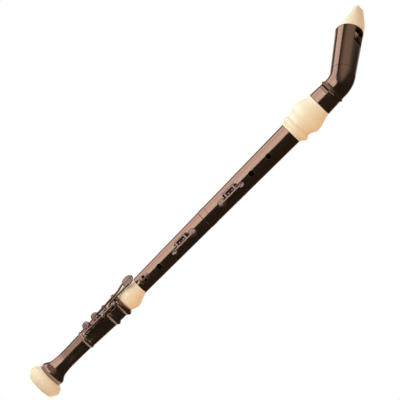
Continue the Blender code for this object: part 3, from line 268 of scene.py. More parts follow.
def lathe(name, outline, sides=ROUND):
    """A turned piece from (radius, height) points that run down its outside and up its bore."""
    piece = add(bpy.ops.mesh.primitive_plane_add, name, size=MM)
    bpy.ops.object.mode_set(mode="EDIT")
    bpy.ops.mesh.select_all(action="SELECT")
    bpy.ops.mesh.merge(type="CENTER")
    bpy.ops.transform.translate(value=(outline[0][0], 0, outline[0][1]))
    for (radius, height), (next_radius, next_height) in zip(outline, outline[1:]):
        step = (next_radius - radius, 0, next_height - height)
        bpy.ops.mesh.extrude_region_move(TRANSFORM_OT_translate={"value": step})
    if outline[0][0] > 0:
        bpy.ops.object.mode_set(mode="OBJECT")
        for vertex in piece.data.vertices:
            vertex.select = vertex.index in (0, len(outline) - 1)
        bpy.ops.object.mode_set(mode="EDIT")
        bpy.ops.mesh.edge_face_add()
    bpy.ops.mesh.select_all(action="SELECT")
    bpy.ops.mesh.spin(steps=sides, angle=2 * pi, center=(0, 0, 0), axis=(0, 0, 1))
    bpy.ops.object.mode_set(mode="OBJECT")
    return tidy_mesh(piece)


def smooth_line(points, parts):
    """More points along a smooth curve through the given ones."""
    line = []
    for index in range(len(points) - 1):
        a = points[max(index - 1, 0)]
        b = points[index]
        c = points[index + 1]
        d = points[min(index + 2, len(points) - 1)]
        for part in range(parts):
            t = part / parts
            line.append(tuple(
                0.5 * (2 * q + (r - p) * t + (2 * p - 5 * q + 4 * r - s) * t * t
                       + (3 * q - p - 3 * r + s) * t ** 3)
                for p, q, r, s in zip(a, b, c, d)))
    line.append(tuple(points[-1]))
    return line


def bead(top, bottom, radius, swell, parts=12):
    """A rounded ring, from its top edge to its bottom edge."""
    return [(radius + swell * sin(pi * k / parts), top + (bottom - top) * k / parts)
            for k in range(parts + 1)]


def mix(low, high, share):
    return low + (high - low) * share


def stations(inner, outer, height, *marks):
    """Outline points: a share of the way between two radii, and a depth in mm below a height."""
    return [(mix(inner, outer, share), height - depth * MM) for share, depth in marks]


def near(radius, height, *steps):
    """Outline points at small steps from a corner, outwards and up, in mm."""
    return [(radius + out * MM, height + up * MM) for out, up in steps]


def shade(piece, angle):
    """Shades smooth, but for edges sharper than an angle in degrees."""
    only(piece)
    bpy.ops.object.shade_smooth_by_angle(angle=radians(angle))
    return piece


def soften(piece, width, segments=3, angle=40):
    """Rounds the edges sharper than an angle, then shades what is left smooth."""
    only(piece)
    rounded = piece.modifiers.new("rounded_edges", "BEVEL")
    rounded.width = width
    rounded.segments = segments
    rounded.limit_method = "ANGLE"
    rounded.angle_limit = radians(angle)
    rounded.use_clamp_overlap = True
    bpy.ops.object.modifier_apply(modifier=rounded.name)
    bpy.ops.object.shade_smooth_by_angle(angle=radians(35))
    return piece


# %% Cutting, joining and plain stock
def boolean(piece, other, operation):
    change = piece.modifiers.new(operation.lower(), "BOOLEAN")
    change.operation = operation
    change.object = other
    change.solver = "EXACT"
    only(piece)
    bpy.ops.object.modifier_apply(modifier=change.name)
    bpy.data.objects.remove(other, do_unlink=True)
    return piece


def cut(piece, other):
    return boolean(piece, other, "DIFFERENCE")


def fuse(piece, other):
    return boolean(piece, other, "UNION")


def rod(name, start, end, radius, sides=32):
    start, end = Vector(start), Vector(end)
    return settle(add(
        bpy.ops.mesh.primitive_cylinder_add, name, vertices=sides, radius=radius, depth=(end - start).length,
        location=(start + end) / 2, rotation=(end - start).to_track_quat("Z", "Y").to_euler()))


def block(name, low, high, place=Matrix.Identity(4)):
    low, high = Vector(low), Vector(high)
    piece = add(bpy.ops.mesh.primitive_cube_add, name, size=1)
    piece.matrix_world = place @ Matrix.Translation((low + high) / 2) @ Matrix.Diagonal((*(high - low), 1))
    return settle(piece)


def moved(piece, place):
    piece.matrix_world = place @ piece.matrix_world
    return settle(piece)


def front(radius, angle, height):
    """A point at an angle from the front line of the body."""
    return Vector((radius * sin(angle), -radius * cos(angle), height))


def drill_bit(angle, height, start, end, radius, sides=32):
    """A rod that runs straight out of the body, from one distance to another."""
    return rod("drill_bit", front(start, angle, height), front(end, angle, height), radius, sides)


def outwards(angle, height):
    """Lays a turned piece along the line that runs out of the body at an angle."""
    return (Matrix.Translation((0, 0, height)) @ Matrix.Rotation(angle, 4, "Z")
            @ Matrix.Rotation(pi / 2, 4, "X"))


# %% [markdown]
# ## Finishes
# The body is moulded resin, polished, so nearly black, with a faint brown cloudiness and a very fine
# skin from the mould. The rings are the same resin in ivory. A single flat colour would look like a
# toy, so each finish varies its colour, its roughness and its surface at a size that suits a thing
# that is handled: clouds of some centimetres, and polish marks of less than a millimetre.

# %% A helper for all finishes
def noise(tree, scale, detail, stretch=(1, 1, 1), roughness=0.55):
    place = node(tree, "Mapping", {"Vector": node(tree, "TexCoord").outputs["Object"], "Scale": stretch})
    return node(tree, "TexNoise", {"Vector": place.outputs["Vector"], "Scale": scale, "Detail": detail,
                                   "Roughness": roughness}).outputs["Fac"]


def finish(name, clouds, colours, marks, polish, skin, depth, strength, look):
    """Clouds give the colour and skin the relief; marks give the roughness, where it is uneven."""
    made = bpy.data.materials.new(name)
    made.use_nodes = True
    tree = made.node_tree
    shader = tree.nodes["Principled BSDF"]
    tint = node(tree, "ValToRGB", {"Fac": noise(tree, *clouds)})
    stops = tint.color_ramp.elements
    for index, (position, colour) in enumerate(colours):
        stop = stops[index] if index < 2 else stops.new(position)
        stop.position, stop.color = position, (*colour, 1)
    relief = node(tree, "Bump", {"Height": noise(tree, *skin), "Distance": depth, "Strength": strength})
    fill(tree, shader, {"Base Color": tint.outputs["Color"], "Normal": relief.outputs["Normal"], **look})
    if marks:
        fill(tree, shader, {"Roughness": map_range(tree, noise(tree, *marks), 0.3, 0.7, *polish, "LINEAR")})
    return made


# %% The three resins
def polished_resin(name, colours, polish, ior, level, tint, look={}):
    """Moulded resin: cloudy colour, uneven polish and a fine moulded skin."""
    return finish(name, (38.0, 5.0, (1, 1, 0.45)), list(zip((0.3, 0.52, 0.74), colours)),
                  (260.0, 6.0, (1, 1, 0.3)), polish, (1400.0, 3.0), 0.02 * MM, 0.35,
                  {"IOR": ior, "Specular IOR Level": level, "Specular Tint": (*tint, 1), **look})


dark_resin = polished_resin(
    "dark_resin_polished", [(0.006, 0.005, 0.003), (0.010, 0.008, 0.005), (0.018, 0.013, 0.008)],
    (0.12, 0.18), 2.0, 1.0, (1.0, 0.61, 0.46))
ivory_resin = polished_resin(
    "ivory_resin_polished", [(0.91, 0.74, 0.52), (0.93, 0.77, 0.56), (0.94, 0.80, 0.60)],
    (0.28, 0.4), 1.5, 0.5, (1.0, 1.0, 1.0),
    {"Coat Weight": 0.1, "Coat Roughness": 0.12, "Subsurface Weight": 0.12, "Subsurface Scale": 1.0,
     "Subsurface Radius": (3.0 * MM, 2.0 * MM, 1.0 * MM)})
key_resin = polished_resin(
    "key_resin_moulded", [(0.022, 0.008, 0.006), (0.038, 0.014, 0.010), (0.06, 0.024, 0.017)],
    (0.13, 0.2), 1.8, 0.8, (1.0, 0.68, 0.6))

# %% Steel, cork and leather
wear, grain, pores = (500.0, 6.0, (1, 1, 0.2)), (900.0, 8.0, (1, 1, 1), 0.7), (1500.0, 6.0)
key_steel = finish(
    "key_steel_polished", wear, [(0.3, (0.3, 0.29, 0.28)), (0.7, (0.46, 0.44, 0.42))], wear, (0.22, 0.36),
    wear, 0.01 * MM, 0.4, {"Metallic": 1.0})
tenon_cork = finish(
    "tenon_cork_greased", grain,
    [(0.3, (0.2, 0.1, 0.045)), (0.5, (0.52, 0.33, 0.17)), (0.7, (0.66, 0.46, 0.27))], None, None,
    grain, 0.12 * MM, 0.7, {"Roughness": 0.62})
pad_skin = finish(
    "key_pad_leather", pores, [(0.3, (0.6, 0.47, 0.31)), (0.7, (0.8, 0.69, 0.5))], None, None,
    pores, 0.05 * MM, 0.6, {"Roughness": 0.6, "Sheen Weight": 0.15})
FINISHES = {"dark_resin": dark_resin, "ivory_resin": ivory_resin, "key_resin": key_resin,
            "key_steel": key_steel, "cork": tenon_cork, "pad_skin": pad_skin}
print("finishes:", ", ".join(sorted(FINISHES)))

# %% Every node of the frame first gets its slot's finish
SLOTS = {entry["node"]: entry["material_slot"] for entry in frame["record"]["subparts"]}
BODIES = {name: body for body, names in frame["record"]["behaviour"]["bodies"].items() for name in names}


def dress(piece, slot):
    piece.data.materials.clear()
    piece.data.materials.append(FINISHES[slot])


for name, slot in SLOTS.items():
    dress(CAD[name], slot)
print("dressed", len(SLOTS), "nodes")


# %% How a finished piece joins the frame
def place_piece(piece, name):
    """Gives the piece the finish and the body of the node it stands for, and hides that node."""
    dress(piece, SLOTS[name])
    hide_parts(name)
    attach(piece, BODIES[name])
    print(f"{piece.name}: {len(piece.data.polygons)} faces, rides on {BODIES[name]}")


# %% [markdown]
# ## Lengths of the instrument
# A maker marks out the stations along the bore before turning anything. Everything that follows is
# measured from these, so that each ring ends where the next tube begins.

# %% Stations along the body
FOOT_TOP = 261.0 * MM
BALL_BOTTOM = 219.0 * MM
MIDDLE_SPLIT = 431.0 * MM
MIDDLE_TOP = 653.0 * MM
FERRULE_TOP = 725.0 * MM
BEND_HEIGHT = 783.0 * MM
BELL_HEIGHT = 27.0 * MM
POST_TOP, POST_MIDDLE, POST_BOTTOM = 207.5 * MM, 178.0 * MM, 130.0 * MM

TUBE_RADIUS_LOW, TUBE_RADIUS_HIGH = 16.8 * MM, 21.8 * MM
BORE_LOW, BORE_HIGH = 11.0 * MM, 16.0 * MM
NECK_RADIUS, WAIST_RADIUS, LIP_RADIUS = 20.6 * MM, 15.9 * MM, 24.7 * MM
BELL_RADIUS, BALL_RADIUS, FERRULE_RADIUS = 34.8 * MM, 25.1 * MM, 31.5 * MM


def tube_radius(height):
    return mix(TUBE_RADIUS_LOW, TUBE_RADIUS_HIGH, (height - FOOT_TOP) / (MIDDLE_TOP - FOOT_TOP))


def bore_radius(height):
    return mix(BORE_LOW, BORE_HIGH, (height - FOOT_TOP) / (MIDDLE_TOP - FOOT_TOP))


TENON_WALL, SOCKET_WALL, RING_LIP = 3.0 * MM, 2.6 * MM, 11.0 * MM
FOOT_TENON = bore_radius(FOOT_TOP) + TENON_WALL
MIDDLE_TENON = bore_radius(MIDDLE_SPLIT) + TENON_WALL
TOP_TENON = BORE_HIGH + TENON_WALL
HEAD_TENON = BORE_HIGH + TENON_WALL
FOOT_TENON_LENGTH, MIDDLE_TENON_LENGTH = 34.0 * MM, 32.0 * MM
TOP_TENON_LENGTH, HEAD_TENON_LENGTH = 56.0 * MM, 30.0 * MM


def cork_groove(radius, low, high):
    """The shallow groove that a tenon's cork lies in, from high to low."""
    top, bottom = high - 7.0 * MM, low + 7.0 * MM
    depth = 1.0 * MM
    return [(radius, top), (radius - depth, top), (radius - depth, bottom), (radius, bottom)]


print("top tenon radius", round(TOP_TENON / MM, 2), "mm")

# %% [markdown]
# ## The foot
# The foot is the lowest joint: two beads under the ivory ball, a plain stretch that carries the keys,
# a narrow waist, and a flare that ends in the bell. All of it is one outline on the lathe. The tone
# holes are bored afterwards into raised seats, as the maker does, so that each pad meets a flat ring.

# %% Foot sizes
FOOT_SOCKET = FOOT_TENON + GAP
FOOT_SPIGOT = FOOT_SOCKET + SOCKET_WALL
BELL_LIP = 4.0 * MM
BELL_MOUTH = 12.5 * MM
FOOT_BORE = 10.0 * MM
BELL_SPIGOT = LIP_RADIUS - 4.7 * MM
SEAT_HEIGHT = 0.8 * MM
SHARP_CUP, LOW_CUP = POST_MIDDLE - 13.0 * MM, POST_BOTTOM + 11.5 * MM
SHARP_ANGLE, LOW_ANGLE = radians(-50.0), radians(-52.0)
SHARP_RADIUS, LOW_RADIUS = 8.0 * MM, 7.6 * MM
FOOT_ROD_ANGLE, FOOT_ROD_RADIUS = radians(-21.5), 27.4 * MM
ROD_RADIUS = 1.2 * MM
STEM_RADIUS, STEM_DEPTH, POST_HEAD = 2.1 * MM, 2.5 * MM, 3.0 * MM
SEAT_MARGIN, SEAT_EDGE, HOLE_MARGIN = 1.4 * MM, 0.35 * MM, 3.4 * MM


def foot_surface(height):
    share = (POST_MIDDLE - 5 * MM - height) / (POST_MIDDLE - POST_BOTTOM - 1 * MM)
    return mix(NECK_RADIUS - 0.3 * MM, NECK_RADIUS - 2.7 * MM, max(share, 0))


# %% Turn the foot
taper_top, taper_end = POST_MIDDLE - 5 * MM, POST_BOTTOM - 4 * MM
waist = BELL_HEIGHT + 42 * MM
flare = smooth_line([
    (WAIST_RADIUS + 0.9 * MM, taper_end - 9 * MM),
    (WAIST_RADIUS + 0.35 * MM, mix(waist, taper_end - 9 * MM, 0.5)), (WAIST_RADIUS, waist),
    *stations(WAIST_RADIUS, LIP_RADIUS, BELL_HEIGHT, (0.11, -27.6), (0.31, -18.5), (0.72, -13), (1, -8)),
    (LIP_RADIUS - 0.3 * MM, BELL_HEIGHT + 2 * MM)], 6)
outline = [(FOOT_SPIGOT - 0.3 * MM, FOOT_TOP - RING_LIP - GAP), (FOOT_SPIGOT, FOOT_TOP - RING_LIP - 0.6 * MM),
           (FOOT_SPIGOT, BALL_BOTTOM), (NECK_RADIUS - 1.0 * MM, BALL_BOTTOM),
           (NECK_RADIUS - 0.8 * MM, BALL_BOTTOM - 0.2 * MM)]
outline += bead(BALL_BOTTOM - 0.5 * MM, BALL_BOTTOM - 13 * MM, NECK_RADIUS - 0.3 * MM, 4.6 * MM, 18)
outline += [(NECK_RADIUS, BALL_BOTTOM - 13.4 * MM)]
outline += bead(BALL_BOTTOM - 28 * MM, BALL_BOTTOM - 38 * MM, NECK_RADIUS, 3.1 * MM, 16)
outline += [(NECK_RADIUS - 0.3 * MM, taper_top), (NECK_RADIUS - 2.7 * MM, taper_end)]
outline += bead(taper_end - 1.5 * MM, taper_end - 8 * MM, NECK_RADIUS - 3 * MM, 1.1 * MM, 10)
outline += flare
outline += [(LIP_RADIUS - 0.9 * MM, BELL_HEIGHT + 0.5 * MM), (LIP_RADIUS - 1.5 * MM, BELL_HEIGHT + GAP),
            (BELL_SPIGOT, BELL_HEIGHT + GAP), (BELL_SPIGOT, BELL_LIP + GAP),
            (BELL_MOUTH, BELL_LIP + GAP), (FOOT_BORE, waist),
            (bore_radius(FOOT_TOP) - 0.2 * MM, FOOT_TOP - FOOT_TENON_LENGTH - GAP),
            (FOOT_SOCKET, FOOT_TOP - FOOT_TENON_LENGTH - GAP), (FOOT_SOCKET, FOOT_TOP - RING_LIP - 0.5 * MM),
            (FOOT_SOCKET + 0.2 * MM, FOOT_TOP - RING_LIP - GAP)]
foot = lathe("turned_foot", outline)
print("foot outline points", len(outline))

# %% Bore the tone holes and the sockets of the key posts
def tone_seat(name, inner, seat, angle, height, radius, rim):
    """The raised ring that a pad closes on, with a rounded outer edge."""
    outline = [(0, seat), (radius - rim, seat), (radius, seat - rim), (radius, inner), (0, inner)]
    return moved(lathe(name, outline, 48), outwards(angle, height))


def hole_cutter(name, start, radius, surface, spread_out, depth):
    """A boring tool that rounds the hole's edge where it meets the surface."""
    parts = 6
    outline = [(0, surface + depth), (radius + 2 * spread_out, surface + depth)]
    for k in range(parts + 1):
        a = pi / 2 * k / parts
        outline.append((radius + spread_out * (1 - sin(a)), surface - depth * (1 - cos(a))))
    outline += [(radius, start), (0, start)]
    return lathe(name, outline, 48)


for cup, angle, radius in ((SHARP_CUP, SHARP_ANGLE, SHARP_RADIUS), (LOW_CUP, LOW_ANGLE, LOW_RADIUS)):
    seat = foot_surface(cup) + SEAT_HEIGHT
    fuse(foot, tone_seat("seat", FOOT_BORE + 3 * MM, seat, angle, cup, radius - SEAT_MARGIN, SEAT_EDGE))
    cut(foot, drill_bit(angle, cup, 0, seat + 5 * MM, radius - HOLE_MARGIN, 48))
for height in (POST_TOP, POST_MIDDLE, POST_BOTTOM):
    cut(foot, drill_bit(FOOT_ROD_ANGLE, height, foot_surface(height) - STEM_DEPTH - GAP,
                        FOOT_ROD_RADIUS + POST_HEAD, STEM_RADIUS + GAP))
soften(foot, 0.12 * MM, 2, 50)
place_piece(foot, "foot_body")

# %% [markdown]
# ## The ivory rings of the foot
# The ball above the foot hides the socket and keeps it from splitting; the bell ring guards the end
# and lets the instrument stand. Both are swelling curves with no flat in them, so their outlines are
# drawn as smooth lines through a few measured radii.

# %% Turn the ball
rim = tube_radius(FOOT_TOP) + 0.5 * MM
BALL_HEIGHT = FOOT_TOP - BALL_BOTTOM
ball_low = BALL_BOTTOM + GAP
swell = [(mix(rim, BALL_RADIUS, share), FOOT_TOP - BALL_HEIGHT * depth) for share, depth in (
    (0.2, 0.18), (0.58, 0.36), (0.92, 0.53), (1, 0.66), (0.75, 0.87))]
outline = smooth_line([(rim, FOOT_TOP - 0.5 * MM), *swell, (NECK_RADIUS - 0.5 * MM, ball_low + 0.5 * MM)], 8)
outline += [(NECK_RADIUS - 1.0 * MM, ball_low), (FOOT_SPIGOT + GAP, ball_low),
            (FOOT_SPIGOT + GAP, FOOT_TOP - RING_LIP), (FOOT_SOCKET, FOOT_TOP - RING_LIP),
            *near(FOOT_SOCKET, FOOT_TOP, (0, -0.3), (0.3, 0)), (rim - 0.5 * MM, FOOT_TOP)]
place_piece(soften(lathe("turned_ball", outline), 0.1 * MM, 2, 50), "foot_ball")

# %% Turn the bell ring
outline = smooth_line([
    (LIP_RADIUS + 0.1 * MM, BELL_HEIGHT - 0.4 * MM),
    *stations(LIP_RADIUS, BELL_RADIUS, BELL_HEIGHT, (0.45, 3.4), (0.8, 6.4), (0.84, 8.2))], 6)
outline += smooth_line([
    *stations(LIP_RADIUS, BELL_RADIUS, BELL_HEIGHT, (0.8, 9), (1, 12.5), (0.86, 18.5), (0.55, 23)),
    (LIP_RADIUS + 2.5 * MM, 0.4 * MM)], 8)
outline += [(LIP_RADIUS + 1.9 * MM, 0), (BELL_MOUTH + 1.2 * MM, 0), (BELL_MOUTH + 0.4 * MM, 0.35 * MM),
            (BELL_MOUTH, 1.1 * MM), (BELL_MOUTH, BELL_LIP), (BELL_SPIGOT + GAP, BELL_LIP),
            (BELL_SPIGOT + GAP, BELL_HEIGHT), (LIP_RADIUS - 0.6 * MM, BELL_HEIGHT)]
place_piece(soften(lathe("turned_bell_ring", outline), 0.1 * MM, 2, 50), "bell_ring")

# %% [markdown]
# ## The middle joint
# A long tube could not be bored in one go, so the middle is two halves with a tenon between them. The
# outside tapers evenly. Each finger hole has a softly rounded edge, because the finger has to feel
# it and seal it; the paired holes for the little step of a semitone share a raised island.

# %% Hole sizes
FIFTH_HOLE, PAIRED_HOLES = FOOT_TOP + 52 * MM, FOOT_TOP + 17.5 * MM
FIRST_HOLE, SECOND_HOLE, THUMB_HOLE = MIDDLE_TOP - 58 * MM, MIDDLE_TOP - 102.5 * MM, MIDDLE_TOP - 41 * MM
HOLE_RADIUS, THUMB_HOLE_RADIUS, CUP_HOLE_RADIUS = 4.8 * MM, 3.6 * MM, 4.6 * MM
HOLE_EDGE = 1.5 * MM
THIRD_CUP, FOURTH_CUP = MIDDLE_SPLIT + 45 * MM, MIDDLE_SPLIT - 31 * MM
CUP_RADIUS = 8.2 * MM
TOUCH_REACH = 48.0 * MM
SADDLE_PLATE = 1.5 * MM
SADDLE_CLEARANCE, POST_THICKNESS, TUBE_LENGTH = 0.5 * MM, 3.0 * MM, 26.0 * MM
SCREW_RADIUS, SCREW_DEPTH = 1.2 * MM, 2.6 * MM
SCREW_OFFSET, SCREW_SPREAD = 3.1 * MM, 4.6 * MM
THUMB_REST = FOOT_TOP + 73 * MM
STRAP_EYE = MIDDLE_TOP - 22 * MM
STRAP_SCREW = STRAP_EYE - 10 * MM


def saddle_middle(cup, way):
    return cup + way * (CUP_RADIUS + SADDLE_CLEARANCE + POST_THICKNESS + GAP + TUBE_LENGTH / 2)


def screw_angle(cup, way):
    return -asin(SCREW_OFFSET / (tube_radius(saddle_middle(cup, way)) + GAP + SADDLE_PLATE))


def finger_hole(tube, height, radius, angle=0.0):
    tool = hole_cutter("finger_hole", 0, radius, tube_radius(height), HOLE_EDGE, HOLE_EDGE)
    cut(tube, moved(tool, outwards(angle, height)))


def key_seat(tube, cup, way):
    seat = tube_radius(cup) + SEAT_HEIGHT
    fuse(tube, tone_seat("seat", bore_radius(cup) + 2 * MM, seat, 0, cup, CUP_RADIUS - SEAT_MARGIN,
                         SEAT_EDGE))
    cut(tube, drill_bit(0, cup, 0, seat + 5 * MM, CUP_HOLE_RADIUS, 48))
    for side in (-1, 1):
        screw_hole(tube, saddle_middle(cup, way) + side * SCREW_SPREAD, screw_angle(cup, way))


def screw_hole(tube, height, angle):
    surface = tube_radius(height)
    cut(tube, drill_bit(angle, height, surface - SCREW_DEPTH - GAP, surface + 4 * MM, SCREW_RADIUS + GAP))


# %% Turn and bore the lower half
base, peak = FOOT_TOP - FOOT_TENON_LENGTH, MIDDLE_SPLIT + MIDDLE_TENON_LENGTH
outline = [(MIDDLE_TENON - 0.4 * MM, peak), (MIDDLE_TENON, peak - 0.4 * MM)]
outline += cork_groove(MIDDLE_TENON, MIDDLE_SPLIT, peak)
outline += [(MIDDLE_TENON, MIDDLE_SPLIT - GAP), (tube_radius(MIDDLE_SPLIT) - 0.4 * MM, MIDDLE_SPLIT - GAP),
            (tube_radius(MIDDLE_SPLIT), MIDDLE_SPLIT - 0.7 * MM),
            (tube_radius(FOOT_TOP), FOOT_TOP + 0.7 * MM),
            (tube_radius(FOOT_TOP) - 0.4 * MM, FOOT_TOP + GAP), (FOOT_TENON, FOOT_TOP + GAP),
            *cork_groove(FOOT_TENON, base, FOOT_TOP), *near(FOOT_TENON, base, (0, 0.4), (-0.4, 0)),
            (bore_radius(FOOT_TOP), base), (bore_radius(peak), peak)]
lower = lathe("turned_lower_joint", outline)
PAIRED_ANGLE = radians(-11.0)
ISLAND_WIDTH, ISLAND_LENGTH, ISLAND_HEIGHT = 17.0 * MM, 23.0 * MM, 1.6 * MM
PAIRED_RADIUS, PAIRED_SPREAD = 2.6 * MM, 8.0 * MM
island_top = tube_radius(PAIRED_HOLES) + ISLAND_HEIGHT
edge, half, island_root = 1.1 * MM, ISLAND_WIDTH / 2, bore_radius(PAIRED_HOLES) + 2 * MM
outline = [(0, island_top), (half - edge, island_top)]
outline += [(half - edge * (1 - sin(pi / 2 * k / 6)), island_top - edge * (1 - cos(pi / 2 * k / 6)))
            for k in range(1, 7)]
outline += [(half, island_root), (0, island_root)]
island = moved(lathe("island", outline, 64), Matrix.Diagonal((1, ISLAND_LENGTH / ISLAND_WIDTH, 1, 1)))
fuse(lower, moved(island, outwards(PAIRED_ANGLE, PAIRED_HOLES)))
for side in (-1, 1):
    angle = PAIRED_ANGLE + side * PAIRED_SPREAD / 2 / island_top
    cut(lower, drill_bit(angle, PAIRED_HOLES, 0, island_top + 5 * MM, PAIRED_RADIUS, 48))
finger_hole(lower, FIFTH_HOLE, HOLE_RADIUS)
key_seat(lower, FOURTH_CUP, -1)
screw_hole(lower, THUMB_REST, pi)
shade(lower, 30)
place_piece(lower, "lower_tube")

# %% Turn and bore the upper half
peak = MIDDLE_TOP + TOP_TENON_LENGTH
socket = MIDDLE_TENON + GAP
floor_height = MIDDLE_SPLIT + MIDDLE_TENON_LENGTH + GAP
BAND_HEIGHT = 13.5 * MM
band = tube_radius(MIDDLE_SPLIT) + 0.4 * MM
band_top = MIDDLE_SPLIT + BAND_HEIGHT
outline = [(TOP_TENON - 0.4 * MM, peak), (TOP_TENON, peak - 0.4 * MM)]
outline += cork_groove(TOP_TENON, MIDDLE_TOP, peak)
outline += [(TOP_TENON, MIDDLE_TOP - GAP), (tube_radius(MIDDLE_TOP) - 0.4 * MM, MIDDLE_TOP - GAP),
            (tube_radius(MIDDLE_TOP), MIDDLE_TOP - 0.7 * MM), (tube_radius(band_top), band_top),
            (tube_radius(band_top) - 0.25 * MM, band_top - 0.2 * MM), (band + 0.15 * MM, band_top - 0.6 * MM),
            *near(band, MIDDLE_SPLIT, (0, 0.4), (-0.4, 0)), *near(socket, MIDDLE_SPLIT, (0.3, 0), (0, 0.3)),
            (socket, floor_height), (bore_radius(floor_height), floor_height), (bore_radius(peak), peak)]
upper = lathe("turned_upper_joint", outline)
finger_hole(upper, FIRST_HOLE, HOLE_RADIUS)
finger_hole(upper, SECOND_HOLE, HOLE_RADIUS)
finger_hole(upper, THUMB_HOLE, THUMB_HOLE_RADIUS, pi)
key_seat(upper, THIRD_CUP, 1)
screw_hole(upper, STRAP_SCREW, pi)
shade(upper, 30)
place_piece(upper, "upper_tube")

# %% [markdown]
# ## The neck
# The ivory ferrule is a tall swelling ring over the socket. The elbow rises out of it, passes two
# fine grooves and a bead, and bends back by fifty-one degrees. The straight part is turned; the bend
# is a round section carried along an arc, because a lathe cannot turn a corner.

# %% Turn the ferrule
ELBOW_RADIUS, HEAD_RADIUS_LOW, HEAD_RADIUS_HIGH = 22.8 * MM, 23.7 * MM, 26.0 * MM
socket = TOP_TENON + GAP
spigot = socket + SOCKET_WALL
collar = ELBOW_RADIUS + 1.6 * MM
rim = tube_radius(MIDDLE_TOP) + 0.7 * MM
outline = [(collar - 0.7 * MM, FERRULE_TOP), (collar - 0.25 * MM, FERRULE_TOP - 0.2 * MM)]
outline += smooth_line([
    (collar - 0.1 * MM, FERRULE_TOP - 0.6 * MM),
    *stations(collar, FERRULE_RADIUS, FERRULE_TOP, (0.18, 8), (0.5, 15.5), (0.88, 24.5), (1, 32.5), (0.9, 38),
              (0.4, 44.5), (0.16, 50))], 8)
outline += bead(FERRULE_TOP - 53.5 * MM, MIDDLE_TOP + 5 * MM, rim + 2.4 * MM, 4 * MM, 18)
outline += [(rim + 0.1 * MM, MIDDLE_TOP + 3 * MM), (rim, MIDDLE_TOP + 0.4 * MM), (rim - 0.4 * MM, MIDDLE_TOP),
            (socket + 0.3 * MM, MIDDLE_TOP), (socket, MIDDLE_TOP + 0.3 * MM), (socket, MIDDLE_TOP + RING_LIP),
            (spigot + GAP, MIDDLE_TOP + RING_LIP), (spigot + GAP, FERRULE_TOP)]
ferrule = lathe("turned_ferrule", outline)
shade(ferrule, 40)
place_piece(ferrule, "neck_ferrule")

# %% The line of the bend
BEND_ANGLE, HEAD_TURN, BEND_RADIUS = radians(51.0), radians(35.0), 32.0 * MM
HEAD_SEAM, HEAD_RIM, BEAK_LENGTH = 22.0 * MM, 119.0 * MM, 54.0 * MM
HEAD_PLACE = (Matrix.Translation((0, 0, BEND_HEIGHT)) @ Matrix.Rotation(HEAD_TURN, 4, "Z")
              @ Matrix.Rotation(-BEND_ANGLE, 4, "X"))


def bend_line(start, end, parts=24):
    """From a height on the body axis, round the arc, to a length along the head axis."""
    tangent = BEND_RADIUS * (1 - cos(BEND_ANGLE)) / sin(BEND_ANGLE)
    lean = Vector((-sin(HEAD_TURN), cos(HEAD_TURN), 0))
    up = Vector((0, 0, 1))
    corner = up * (BEND_HEIGHT - tangent)
    points = [up * start]
    for k in range(parts + 1):
        a = BEND_ANGLE * k / parts
        points.append(corner + lean * BEND_RADIUS * (1 - cos(a)) + up * BEND_RADIUS * sin(a))
    points.append(HEAD_PLACE @ Vector((0, 0, end)))
    return points


def pipe(name, points, radius, factors=None, resolution=22):
    """A round section along points, with a factor on its radius at each."""
    path = add(bpy.ops.curve.primitive_nurbs_path_add, name)
    path.data.splines.clear()
    spline = path.data.splines.new("POLY")
    spline.points.add(len(points) - 1)
    for index, point in enumerate(points):
        spline.points[index].co = (*point, 1)
        spline.points[index].radius = factors[index] if factors else 1.0
    path.data.bevel_depth = radius
    path.data.bevel_resolution = resolution
    path.data.use_fill_caps = True
    only(path)
    bpy.ops.object.convert(target="MESH")
    return tidy_mesh(settle(bpy.context.object))


# %% Turn and bend the elbow
base = MIDDLE_TOP + RING_LIP + GAP
floor_height = MIDDLE_TOP + TOP_TENON_LENGTH + GAP
low = FERRULE_TOP
outline = [(0, low + 40 * MM), *near(ELBOW_RADIUS, low, (-0.2, 40), (0.3, 38.5))]
outline += bead(low + 36.5 * MM, low + 30 * MM, ELBOW_RADIUS + 0.5 * MM, 2 * MM, 14)
for groove in (28.0 * MM, 24.5 * MM):
    outline += near(ELBOW_RADIUS, low + groove, (0.8, 0.8), (0.35, 0.4), (0.2, 0), (0.35, -0.4), (0.8, -0.8))
outline += smooth_line([*near(ELBOW_RADIUS, low, (0.85, 22), (1.1, 12)), (collar, low + 3 * MM)], 6)
outline += [(collar, low + 0.8 * MM), (collar - 0.5 * MM, low + GAP), (spigot, low + GAP), (spigot, base),
            (0, base)]
elbow = lathe("turned_elbow", outline)
line = bend_line(low + 36 * MM, HEAD_SEAM)
widen = HEAD_RADIUS_LOW / ELBOW_RADIUS - 1
fuse(elbow, pipe("bend", line, ELBOW_RADIUS, [1 + widen * k / (len(line) - 1) for k in range(len(line))]))
top = HEAD_SEAM + HEAD_TENON_LENGTH
outline = [(0, top), (HEAD_TENON - 0.4 * MM, top), (HEAD_TENON, top - 0.4 * MM)]
outline += cork_groove(HEAD_TENON, HEAD_SEAM, top)
outline += [(HEAD_TENON, HEAD_SEAM - 3 * MM), (0, HEAD_SEAM - 3 * MM)]
fuse(elbow, moved(lathe("spout", outline), HEAD_PLACE))
cut(elbow, rod("socket", (0, 0, base - 5 * MM), (0, 0, floor_height), socket, ROUND))
cut(elbow, pipe("air_way", bend_line(floor_height - 2 * MM, top + 5 * MM), BORE_HIGH))
shade(elbow, 32)
place_piece(elbow, "elbow")

# %% [markdown]
# ## The head
# The sound is made here: air from the windway crosses the window and splits on the labium, the thin
# edge at the foot of a ramp cut into the tube. The head is modelled upright, with its window at the
# front, and then set on the end of the bend.

